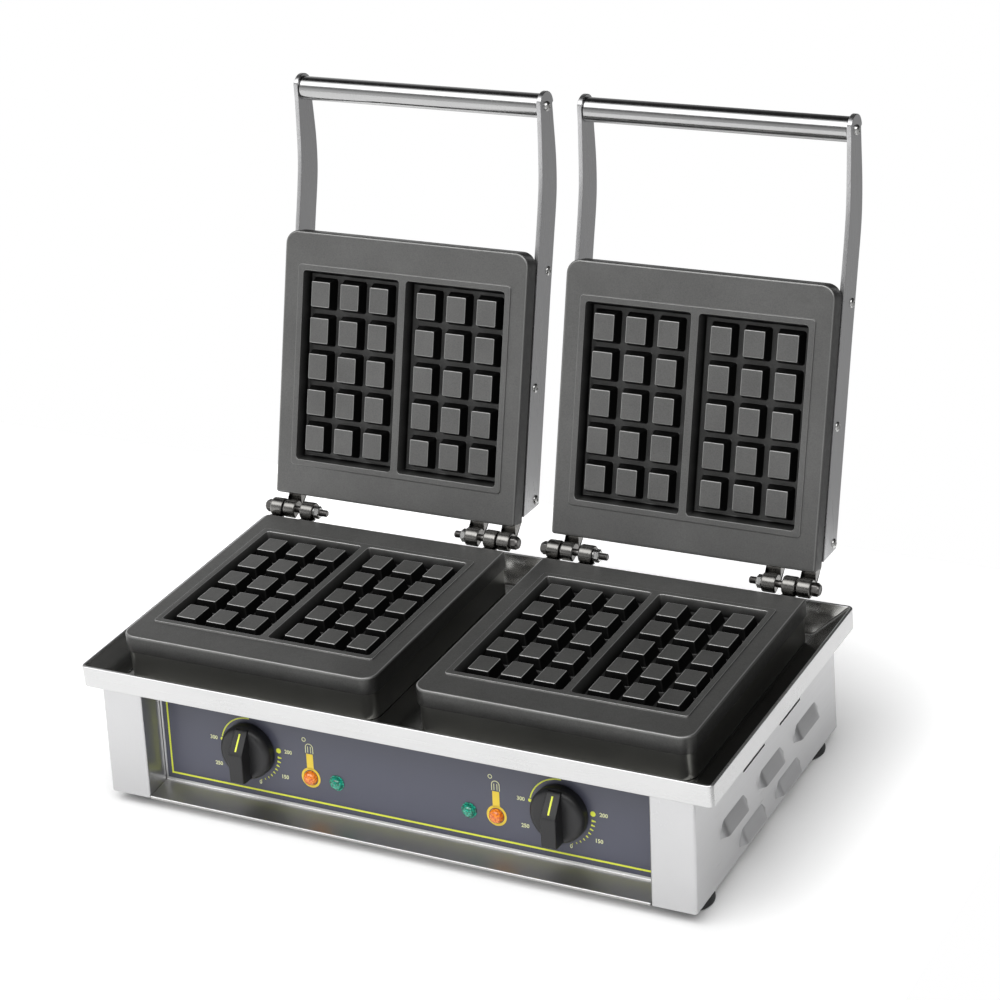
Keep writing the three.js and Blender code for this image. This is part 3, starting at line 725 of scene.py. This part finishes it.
def outline_inset(points, amount):
    """Moves a closed outline inwards by a small amount."""
    count = len(points)
    area = sum(
        points[i][0] * points[(i + 1) % count][1] - points[(i + 1) % count][0] * points[i][1]
        for i in range(count)
    )
    sign = 1 if area > 0 else -1
    moved = []
    for i in range(count):
        here = Vector(points[i])
        a = (here - Vector(points[i - 1])).normalized()
        b = (Vector(points[(i + 1) % count]) - here).normalized()
        normal = Vector((-(a.y + b.y), a.x + b.x)).normalized() * sign
        scale = 1 / max(0.5, normal.dot(Vector((-a.y, a.x)) * sign))
        moved.append(tuple(here + normal * amount * scale))
    return moved


def button_head(shape, place, radius, height):
    """Domed screw head with a hexagon socket."""

    def wobble(a, r, z):
        return 1.0 if r > radius * 0.5 else hexagon(a, r, z)

    socket = radius * 0.36
    shape.lathe([
        (0.01, height * 0.4), (socket * 0.9, height * 0.42), (socket, height * 0.5),
        (socket * 1.02, height * 0.93), (socket * 1.12, height), (radius * 0.6, height * 0.94),
        (radius * 0.85, height * 0.66), (radius * 0.97, height * 0.3), (radius, 0.1),
        (radius, -0.5), (0.01, -0.5),
    ], place, 36, wobble)


def lid_arm(way):
    """Flat bar with softened edges."""
    outline = arm_outline()
    shape = Shape()
    x0, x1 = (ARM_IN, ARM_OUT) if way > 0 else (-ARM_OUT, -ARM_IN)
    shape.loft([
        [(x, -v, -w) for v, w in outline_inset(outline, inset)]
        for x, inset in (
            (x0, 0.6), (x0 + 0.15, 0.2), (x0 + 0.6, 0), (x1 - 0.6, 0), (x1 - 0.15, 0.2), (x1, 0.6),
        )
    ])
    return shape


def lid_screws(way):
    """Heads of the three screws that hold an arm to the cover."""
    shape = Shape()
    for v, w in ARM_SCREWS:
        place = Matrix.Translation((way * ARM_OUT, -v, -w)) @ sideways(way)
        button_head(shape, place, 4.0, 1.6)
    return shape


def grip_tube():
    reach = ARM_IN - 0.3
    shape = Shape()
    place = Matrix.Translation((0, -GRIP_V, -GRIP_W)) @ AXIS_X
    stations = [-reach + 1.2 + (2 * reach - 2.4) * i / 12 for i in range(13)]
    profile = [(8.5, -reach), (9.5, -reach), (9.85, -reach + 0.15), (10, -reach + 0.6)]
    profile += [(10, x) for x in stations]
    profile += [(10, reach - 0.6), (9.85, reach - 0.15), (9.5, reach), (8.5, reach)]
    shape.lathe(profile, place, 72)
    return shape


def lid_cover():
    """Folded sheet cover with a softly rounded back."""
    box = (-112.2, 112.2, -228, -20)
    shape = Shape()
    outside = (
        (9, -47), (6, -46.8), (3.6, -46.1), (1.8, -44.8), (0.6, -42.8), (0, -40.4), (0, -18.0),
        (0.3, -17.4), (1.2, -17.4), (1.4, -18.0), (1.4, -40.2), (2.2, -42.9), (4, -44.9),
        (7, -45.6), (10, -45.7),
    )
    shape.loft([inset_ring(box, 12, inset, z, 10, 4) for inset, z in outside])
    return shape


def casting_skirt():
    """Sheet collar round the underside of a lower casting."""
    box = (-114.4, 114.4, -238.4, -14.1)
    low = (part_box("left_skirt")[0].z - JOINTS["left_lid_hinge"]["pos_m"][2]) * 1000
    shape = Shape()
    loops = [
        inset_ring(box, 11, inset, z, 10, 0.8, REAR_R)
        for inset, z in (
            (0, low + 0.5), (0, -17.4), (1.2, -17.4), (1.2, low + 0.5), (1.1, low + 0.1),
            (0.6, low), (0.1, low + 0.1),
        )
    ]
    rings = shape.loft(loops, caps=(False, False))
    shape.bridge(rings[-1], rings[0])
    return shape


def hinge_bolt(way):
    """Hexagon head with a chamfered crown, plain shank and a threaded tip."""
    shape = Shape()
    shank = sideways(way)
    start = 116.3

    def crown(a, r, z):
        return hexagon(a, r, z) if start + 0.6 < z < start + 4.6 else 1.0

    shape.lathe([
        (0.01, start), (5.5, start), (5.6, start + 0.3), (4.85, start + 0.9), (4.85, start + 4.4),
        (4.75, start + 5.2), (4.2, start + 6.1), (2.9, start + 6.4), (2.6, start + 6.0),
        (0.01, start + 6.0),
    ], shank, 48, crown)
    profile = [(0.01, 62.5), (2.2, 62.5), (2.7, 63.0)]
    for i in range(11):
        z = 63.4 + i * 0.9
        profile += [(2.95, z), (2.6, z + 0.45)]
    profile += [(2.95, 73.6), (2.95, start - 0.2), (0.01, start - 0.2)]
    shape.lathe(profile, shank, 32)
    return shape


def hinge_nut(way):
    """Chamfered nut and the washer under it."""
    shape = Shape()
    place = sideways(way)
    shape.lathe([
        (3.0, 69.2), (4.3, 69.2), (4.85, 69.8), (4.85, 73.2), (4.5, 73.7), (3.0, 73.7),
    ], place, 48, lambda a, r, z: hexagon(a, r, z) if r > 4.6 else 1.0)
    shape.lathe([
        (3.0, 73.75), (5.5, 73.75), (5.6, 73.9), (5.6, 74.1), (5.5, 74.2), (3.0, 74.2),
    ], place, 40)
    return shape


def grip_screw(way):
    shape = Shape()
    place = Matrix.Translation((way * (ARM_OUT + 0.3), -GRIP_V, -GRIP_W)) @ sideways(way)
    button_head(shape, place, 4.2, 2.2)
    shape.lathe([(0.01, -16), (2.0, -16), (2.2, -15.5), (2.2, -0.3), (0.01, -0.3)], place, 24)
    return shape


# ---------------------------------------------------------------- controls
AMBER_X, GREEN_X, LAMP_UP = 82.6, 58.8, 27.4
AMBER_R, GREEN_R = 6.0, 5.4


def knob():
    """Skirted knob with a grip bar whose upper end slopes back under the pointer line."""
    shape = Shape()
    shape.lathe([
        (0.01, 0.9), (21.5, 0.9), (22.6, 1.1), (23, 1.7), (23, 7.0), (22.85, 7.9), (22.3, 9.2),
        (21.5, 10.4), (20.4, 11.4), (19, 12.0), (17, 12.4), (8, 12.6), (0.01, 12.6),
    ], AXIS_OUT, 96)
    stations = (
        (-20.5, 11.8, 21.4), (-20.3, 12.4, 23.0), (-19.5, 12.8, 24), (-8, 12.8, 24), (1, 12.8, 24),
        (3.6, 12.8, 24), (4.8, 12.8, 23.6), (8, 12.7, 21.5), (12, 12.5, 18.8), (16, 12.3, 16),
        (19, 12.1, 14), (21, 11.8, 12.5), (21.7, 11.0, 11.2),
    )
    loops = []
    for up, width, depth in stations:
        ring = rounded(-width / 2, width / 2, -depth, -6.0, 1.1, 4)
        loops.append([(x, y, up) for x, y in ring])
    shape.loft(loops)
    return shape


def pointer():
    """Painted line on the sloping end of the grip bar."""
    shape = Shape()
    loops = []
    for up, depth in ((7.0, 22.2), (8, 21.5), (12, 18.8), (16, 16), (19, 14)):
        outline = ((-0.75, -0.3), (0.75, -0.3), (0.75, 0.16), (-0.75, 0.16))
        loops.append([(x, -depth - lift, up) for x, lift in outline])
    shape.loft(loops)
    return shape


def lamp(radius):
    shape = Shape()
    shape.lathe([
        (0.01, 0.7), (radius - 0.1, 0.7), (radius, 1.0), (radius - 0.05, 2.0), (radius - 0.5, 3.4),
        (radius - 1.5, 4.7), (radius - 3.0, 5.5), (0.01, 5.9),
    ], AXIS_OUT, 48)
    return shape


def bezel(radius):
    shape = Shape()
    rings = shape.lathe([
        (radius + 0.1, 0.8), (radius + 1.0, 0.8), (radius + 1.2, 1.0), (radius + 1.0, 1.7),
        (radius + 0.5, 2.0), (radius + 0.1, 1.7),
    ], AXIS_OUT, 48)
    del shape.faces[-2:]
    shape.bridge(rings[-1], rings[0])
    return shape


PRINT_BACK, PRINT_FRONT = -0.78, -0.92


def flat_print(shape, outline):
    """Raised ink: one closed outline in the panel plane."""
    shape.loft([[(x, y, z) for x, z in outline] for y in (PRINT_BACK, PRINT_FRONT)])


def stroke(shape, line, width, closed=False):
    """Raised line of constant width along points in the panel plane."""
    count = len(line)
    left, right = [], []
    for i in range(count):
        here = Vector(line[i])
        prev = Vector(line[i - 1]) if closed or i > 0 else here
        after = Vector(line[(i + 1) % count]) if closed or i < count - 1 else here
        into, away = here - prev, after - here
        a = into.normalized() if into.length > 1e-6 else away.normalized()
        b = away.normalized() if away.length > 1e-6 else a
        normal = Vector((-(a.y + b.y), a.x + b.x)).normalized()
        reach = width / 2 / max(0.4, normal.dot(Vector((-a.y, a.x))))
        left.append(here + normal * reach)
        right.append(here - normal * reach)
    rings = []
    for y, side in (
        (PRINT_BACK, left), (PRINT_FRONT, left), (PRINT_FRONT, right), (PRINT_BACK, right),
    ):
        rings.append(shape.loop([(p.x, y, p.y) for p in side]))
    for a, b in ((0, 1), (1, 2), (2, 3), (3, 0)):
        shape.bridge(rings[a], rings[b], closed)
    if not closed:
        shape.faces.append(tuple(ring[0] for ring in rings))
        shape.faces.append(tuple(ring[-1] for ring in reversed(rings)))


def circle(x, z, r, steps=32, start=0.0, sweep=360.0):
    count = steps if sweep >= 360 else steps + 1
    return [
        (x + r * math.cos(math.radians(start + sweep * i / steps)),
         z + r * math.sin(math.radians(start + sweep * i / steps)))
        for i in range(count)
    ]


def dial_print(shape, cx, cz):
    """Off arc, start dot, and a run of marks that shrink round to the lowest setting."""
    stroke(shape, circle(cx, cz, 26.6, 24, 88, 78), 1.1)
    flat_print(shape, circle(cx - 26.2, cz + 4.2, 1.5, 16))
    flat_print(shape, circle(cx + 26.6, cz + 3.2, 2.2, 20))
    for k in range(9):
        angle = math.radians(-6 - k * 8.2)
        size = 3.4 - k * 0.28
        mid = Vector((cx + 27.2 * math.cos(angle), cz + 27.2 * math.sin(angle)))
        along = Vector((math.cos(angle), math.sin(angle)))
        cross = Vector((-along.y, along.x)) * size * 0.28
        reach = along * size * 0.5
        flat_print(shape, [
            mid - reach + cross, mid - reach - cross,
            mid + reach - cross * 0.4, mid + reach + cross * 0.4,
        ])


def numeral(text, x, z, size, name):
    """Dial figure cut from the built-in face."""
    curve = bpy.data.curves.new(name, "FONT")
    curve.body = text
    curve.size = size
    curve.align_x = "CENTER"
    curve.align_y = "CENTER"
    curve.extrude = 0.06
    curve.offset = 0.09
    curve.resolution_u = 3
    holder = bpy.data.objects.new(name, curve)
    SCENE.collection.objects.link(holder)
    bpy.context.view_layer.update()
    mesh = bpy.data.meshes.new_from_object(holder)
    bpy.data.objects.remove(holder)
    shape = Shape()
    turn = Matrix.Translation((x, PRINT_BACK - 0.06, z)) @ Matrix.Rotation(math.pi / 2, 4, "X")
    shape.points = [turn @ v.co for v in mesh.vertices]
    shape.faces = [tuple(p.vertices) for p in mesh.polygons]
    bpy.data.meshes.remove(mesh)
    return shape


# ---------------------------------------------------------------- assembling the machine
finish("housing_sheet", housing(), MM, MAT["shell"], "base", ("housing_shell",), 30)
finish("housing_louvres", louvres(), MM, MAT["louvre"], "base", (), 30)
tray_band, tray_pan = drip_tray()
finish("drip_tray_band", tray_band, MM, MAT["band"], "base", ("drip_tray",), 24)
finish("drip_tray_pan", tray_pan, MM, MAT["tray"], "base", (), 24)
finish("base_ledge", ledge(), MM, MAT["ledge"], "base", ("base_pan",), 40)

for tag, side in SIDES:
    low, high = lower_place(tag), upper_place(tag)
    lid = f"{tag}_lid"
    finish(f"{tag}_lower_casting", casting(), low, MAT["iron_low"], "base",
           (f"{tag}_lower_plate",), 42, mould_painted_light)
    finish(f"{tag}_upper_casting", casting(), high, MAT["iron"], lid,
           (f"{tag}_upper_plate",), 42, mould_painted_light)
    finish(f"{tag}_lower_lugs", hinge_lugs(), low, MAT["lug"], "base", (), 42)
    finish(f"{tag}_upper_lugs", hinge_lugs(), high, MAT["lug"], lid, (), 42)
    finish(f"{tag}_casting_skirt", casting_skirt(), low, MAT["skirt"], "base",
           (f"{tag}_skirt",))
    finish(f"{tag}_lid_cover", lid_cover(), high, MAT["cover"], lid,
           (f"{tag}_upper_cover",), 30)
    finish(f"{tag}_grip", grip_tube(), high, MAT["tube"], lid,
           (f"{tag}_grip_tube",), 40)
    for end, way in SIDES:
        finish(f"{tag}_lid_arm_{end}", lid_arm(-way), high, MAT["arm"], lid,
               (f"{tag}_arm_{end}",), 40)
        finish(f"{tag}_lid_screws_{end}", lid_screws(-way), high, MAT["zinc"], lid,
               (), 40)
        finish(f"{tag}_grip_bolt_{end}", grip_screw(-way), high, MAT["zinc"], lid,
               (f"{tag}_grip_screw_{end}",), 40)
        finish(f"{tag}_pivot_bolt_{end}", hinge_bolt(way), low, MAT["bolt"], "base",
               (f"{tag}_hinge_bolt_{end}",), 34)
        finish(f"{tag}_pivot_nut_{end}", hinge_nut(way), low, MAT["zinc"], "base",
               (f"{tag}_hinge_nut_{end}",), 34)
    spot = panel_place(side * KNOB_X, KNOB_UP)
    finish(f"{tag}_control_knob", knob(), spot, MAT["knob"], f"{tag}_dial",
           (f"{tag}_knob",), 48)
    finish(f"{tag}_pointer", pointer(), spot, MAT["yellow"], f"{tag}_dial",
           (), 40)
    amber_spot = panel_place(side * AMBER_X, LAMP_UP)
    green_spot = panel_place(side * GREEN_X, LAMP_UP)
    finish(f"{tag}_amber_lens", lamp(AMBER_R), amber_spot, MAT["amber"], "base",
           (f"{tag}_lamp_amber",), 50)
    finish(f"{tag}_green_lens", lamp(GREEN_R), green_spot, MAT["green"], "base",
           (f"{tag}_lamp_green",), 50)
    finish(f"{tag}_green_bezel", bezel(GREEN_R), green_spot, MAT["green"], "base",
           (), 40)
    repaint(f"{tag}_lower_element", MAT["sheath"])
    repaint(f"{tag}_upper_element", MAT["sheath"])
    repaint(f"{tag}_thermostat", MAT["plastic"])

# Control panel, fascia and its print
PANEL_TOP = 86
FLANGE_HALF, FLANGE_UP = 220.7, 1.0
BORDER_HALF, BORDER_UP = 215, 6.8
BEAD_HALF = 221.3
repaint("control_panel", MAT["ledge"])
repaint("control_fascia", MAT["fascia"])
repaint("terminal_block", MAT["ceramic"])

# Rods along the ledge nose and the panel foot: painted highlights along those edges.
highlight_rods = Shape()
for y, z, r in ((FRONT + 0.75, 11.0, 0.55), (-176.6, 13.75, 0.5)):
    highlight_rods.lathe([(0.01, -BEAD_HALF), (r, -BEAD_HALF), (r, BEAD_HALF), (0.01, BEAD_HALF)],
                Matrix.Translation((0, y, z)) @ AXIS_X, 12)
finish("ledge_painted_highlights", highlight_rods, MM, MAT["painted_highlight"], "base", ())


def panel_border(shape, half, up, width):
    """Line down both sides of the panel and along its foot."""
    stroke(shape, [(-half, PANEL_TOP), (-half, up), (half, up), (half, PANEL_TOP)], width)


# Bright strip round the panel foot and sides: a painted highlight along the panel's edge.
flange_highlight = Shape()
panel_border(flange_highlight, FLANGE_HALF, FLANGE_UP, 1.6)
finish("panel_flange_painted_highlight", flange_highlight, panel_place(), MAT["painted_highlight"], "base", ())

lines = Shape()
panel_border(lines, BORDER_HALF, BORDER_UP, 1.5)
for _, side in SIDES:
    dial_print(lines, side * KNOB_X, KNOB_UP)
finish("print_lines", lines, panel_place(), MAT["yellow"], "base", ())

symbols = Shape()
outlines = Shape()
for _, side in SIDES:
    x = side * AMBER_X
    stroke(symbols, circle(x, LAMP_UP, 7.6, 40), 2.0, True)
    flat_print(symbols, [(x - 3.0, 34.6), (x + 3.0, 34.6), (x + 3.0, 48), (x - 3.0, 48)])
    bulb = circle(x, 53.5, 3.3, 10, 180, -180)
    stroke(outlines, [(x - 3.3, 48.6), (x - 3.3, 53.5), *bulb, (x + 3.3, 48.6)], 0.6)
    stroke(outlines, circle(x - 4.4, 60.0, 1.6, 14), 0.55, True)
    for dx in (-1.3, 1.3):
        stroke(outlines, [(x + dx, 49), (x + dx, 54.5)], 0.5)
finish("print_symbols", symbols, panel_place(), MAT["ring"], "base", ())
finish("print_outlines", outlines, panel_place(), MAT["pale"], "base", ())

# Each figure is (text, x and height from the middle of the knob).
FIGURES = (
    ("300", -34, 4), ("250", -31, -18.5), ("200", 35.5, 3.5), ("150", 31, -19), ("0", 7.5, -28.0),
)
for tag, side in SIDES:
    for k, (text, dx, dz) in enumerate(FIGURES):
        name = f"{tag}_figure_{k}"
        shape = numeral(text, side * KNOB_X + dx, KNOB_UP + dz, 4.6, name)
        finish(name, shape, panel_place(), MAT["pale"], "base", ())

# Feet and cable glands
for tag, _ in SIDES:
    for end in ("front", "rear"):
        node = f"foot_{end}_{tag}"
        low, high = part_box(node)
        centre = (low + high) / 2
        foot = Shape()
        foot.lathe([
            (0.01, 0), (15.5, 0), (17.6, 0.35), (18.7, 1.3), (19, 2.6), (18.9, 4.2),
            (18.2, 6.2), (17.4, 7.4), (17.4, 7.9), (16.6, 9.9), (0.01, 9.9),
        ], steps=64)
        place = Matrix.Translation((centre.x, centre.y, 0)) @ MM
        finish(f"rubber_{end}_{tag}", foot, place, MAT["rubber"], "base",
               (node,), 50)


def gland(collar, body, bore, reach):
    """Hexagon bush with a domed, bored nose that points along +y."""
    shape = Shape()
    rings = shape.lathe([
        (bore, -6), (body - 0.4, -6), (body, -5.6), (body, -0.2), (collar, 0.0), (collar, 0.4),
        (collar, reach), (collar * 0.96, reach + 0.5), (body * 0.95, reach + 0.7),
        (body * 0.9, reach + 3), (body * 0.78, reach + 4), (bore, reach + 4),
    ], AXIS_OUT @ Matrix.Rotation(math.pi, 4, "X"), 48,
        lambda a, r, z: hexagon(a, r, z) * 0.87 if r == collar else 1.0)
    del shape.faces[-2:]
    shape.bridge(rings[-1], rings[0])
    return shape


SUPPLY_X_M, SUPPLY_Z_M, SUPPLY_NOSE_M = -0.19, 0.04, 0.0083
LEAD_GLAND = (60, -19.6, -31)
_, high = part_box("cable_gland")
place = Matrix.Translation((SUPPLY_X_M, high.y - SUPPLY_NOSE_M, SUPPLY_Z_M)) @ MM
finish("supply_gland", gland(11.4, 8.0, 4.5, 4.0), place, MAT["plastic"], "base",
       ("cable_gland",), 34)
for tag, _ in SIDES:
    place = upper_place(tag) @ Matrix.Translation(LEAD_GLAND)
    finish(f"{tag}_lead_gland", gland(8.0, 5.0, 3.0, 1.6), place, MAT["plastic"], f"{tag}_lid",
           (f"{tag}_lid_gland",), 34)

# ---------------------------------------------------------------- floor, light, camera
# The floor stops close on the right and behind, so the steel there mirrors the darker studio.
FLOOR_LOW_M, FLOOR_HIGH_M = (-3, -4), (0.43, 0.40)
FOOTPRINT_SHIFT_M, FOOTPRINT_HALF_M = (0.0, 0.06, 0.0), (0.255, 0.135, 0.0)
floor_mesh = bpy.data.meshes.new("floor")
(near_x, near_y), (far_x, far_y) = FLOOR_LOW_M, FLOOR_HIGH_M
floor_mesh.from_pydata(
    [(near_x, near_y, 0), (far_x, near_y, 0), (far_x, far_y, 0), (near_x, far_y, 0)],
    [], [(0, 1, 2, 3)],
)
floor = bpy.data.objects.new("floor", floor_mesh)
SCENE.collection.objects.link(floor)
mat, tree, bsdf = build_nodes("floor_white_painted_shadow")
preset(bsdf, Roughness=0.9, Specular_IOR_Level=0.1, Emission_Color=(1, 1, 1, 1))

# The glow of the floor falls off towards the machine: a painted shadow that widens the contact
# shadow.
spot = add(tree, "ShaderNodeTexCoord").outputs["Object"]
for operation, values in (
    ("ADD", FOOTPRINT_SHIFT_M), ("ABSOLUTE", None),
    ("SUBTRACT", FOOTPRINT_HALF_M), ("MAXIMUM", (0, 0, 0)),
):
    step = add(tree, "ShaderNodeVectorMath", operation=operation)
    tree.links.new(spot, step.inputs[0])
    if values:
        step.inputs[1].default_value = values
    spot = step.outputs["Vector"]
away = add(tree, "ShaderNodeVectorMath", operation="LENGTH")
tree.links.new(spot, away.inputs[0])
glow = remap(tree, away.outputs["Value"], 0.07, 0.52, 0.0, 0.17)
tree.links.new(glow, bsdf.inputs["Emission Strength"])
cloud = noise_field(tree, (1.5, 1.5, 1.5))
white = blend_colour(tree, cloud, (0.80, 0.80, 0.80), (0.82, 0.82, 0.82))
tree.links.new(white, bsdf.inputs["Base Color"])
floor_mesh.materials.append(mat)


def studio_world():
    """White to the camera; in reflections, a bright bank high in front and a dark rear ceiling."""
    world = bpy.data.worlds.new("studio")
    SCENE.world = world
    world.use_nodes = True
    tree = world.node_tree
    tree.nodes.clear()
    out = add(tree, "ShaderNodeOutputWorld")
    coords = add(tree, "ShaderNodeTexCoord")
    axes = add(tree, "ShaderNodeSeparateXYZ")
    tree.links.new(coords.outputs["Generated"], axes.inputs[0])

    def math_node(kind, a, b):
        node = add(tree, "ShaderNodeMath", operation=kind)
        for socket, value in zip(node.inputs, (a, b)):
            if isinstance(value, (int, float)):
                socket.default_value = value
            else:
                tree.links.new(value, socket)
        return node.outputs[0]

    def ramp(source, start, end, low, high):
        node = add(tree, "ShaderNodeMapRange", interpolation_type="SMOOTHSTEP")
        preset(node, From_Min=start, From_Max=end, To_Min=low, To_Max=high)
        tree.links.new(source, node.inputs["Value"])
        return node.outputs["Result"]

    side, depth, height = axes.outputs["X"], axes.outputs["Y"], axes.outputs["Z"]
    front = ramp(depth, -0.35, 0.15, 1.0, 0.0)
    bank_foot = ramp(height, 0.52, 0.66, 0.0, 1.0)
    bank_crest = ramp(height, 0.9, 0.99, 1.0, 0.0)
    bank = math_node("MULTIPLY", math_node("MULTIPLY", bank_foot, bank_crest), front)
    haze_front = ramp(height, 0.0, 0.5, 0.62, 0.16)
    haze_rear = ramp(height, -0.35, 0.12, 0.42, 0.03)
    glow_side = ramp(side, -0.75, -0.1, 0.40, 0.0)
    rear_glow = math_node("MULTIPLY", glow_side, ramp(height, 0.25, 0.75, 1.0, 0.0))
    haze_rear = math_node("ADD", haze_rear, rear_glow)
    window_side = ramp(side, -0.75, -0.25, 0.55, 0.0)
    window = math_node("MULTIPLY", window_side, ramp(height, 0.1, 0.8, 1.0, 0.0))
    haze = math_node("ADD", math_node("MULTIPLY", haze_front, front),
                     math_node("MULTIPLY", haze_rear, math_node("SUBTRACT", 1.0, front)))
    total = math_node("ADD", math_node("ADD", haze, window), math_node("MULTIPLY", bank, 3.2))
    seen = preset(add(tree, "ShaderNodeBackground"), Color=(1, 1, 1, 1), Strength=1.0)
    lit = preset(add(tree, "ShaderNodeBackground"), Color=(1, 1, 1, 1))
    tree.links.new(total, lit.inputs["Strength"])
    path = add(tree, "ShaderNodeLightPath")
    mix = add(tree, "ShaderNodeMixShader")
    tree.links.new(path.outputs["Is Camera Ray"], mix.inputs["Fac"])
    tree.links.new(lit.outputs[0], mix.inputs[1])
    tree.links.new(seen.outputs[0], mix.inputs[2])
    tree.links.new(mix.outputs[0], out.inputs["Surface"])


studio_world()


LIGHT_PLACE_M, LIGHT_TARGET_M = (-0.4, -0.2, 3.0), (0, 0, 0.1)
light_data = bpy.data.lights.new("overhead", "AREA")
light_data.shape = "DISK"
light_data.size = 3.0
light_data.energy = 27
light = bpy.data.objects.new("overhead", light_data)
SCENE.collection.objects.link(light)
light.location = LIGHT_PLACE_M
down = Vector(LIGHT_TARGET_M) - Vector(LIGHT_PLACE_M)
light.rotation_euler = down.to_track_quat("-Z", "Y").to_euler()
light.visible_glossy = False
light.visible_camera = False

# The camera fit: the place in metres, then heading, tilt from level and roll in radians.
CAMERA_PLACE_M = (0.992647, -1.734469, 1.175057)
HEADING, TILT, ROLL = 0.514135, 0.447970, -0.093178
camera_data = bpy.data.cameras.new("camera")
camera_data.lens = 100.08
camera_data.sensor_width = 36.0
camera_data.clip_end = 200
camera = bpy.data.objects.new("camera", camera_data)
SCENE.collection.objects.link(camera)
camera.matrix_world = (
    Matrix.Translation(CAMERA_PLACE_M)
    @ Matrix.Rotation(HEADING, 4, "Z")
    @ Matrix.Rotation(math.pi / 2 - TILT, 4, "X")
    @ Matrix.Rotation(ROLL, 4, "Z")
)
SCENE.camera = camera
SCENE.view_settings.view_transform = "Standard"
SCENE.view_settings.look = "None"
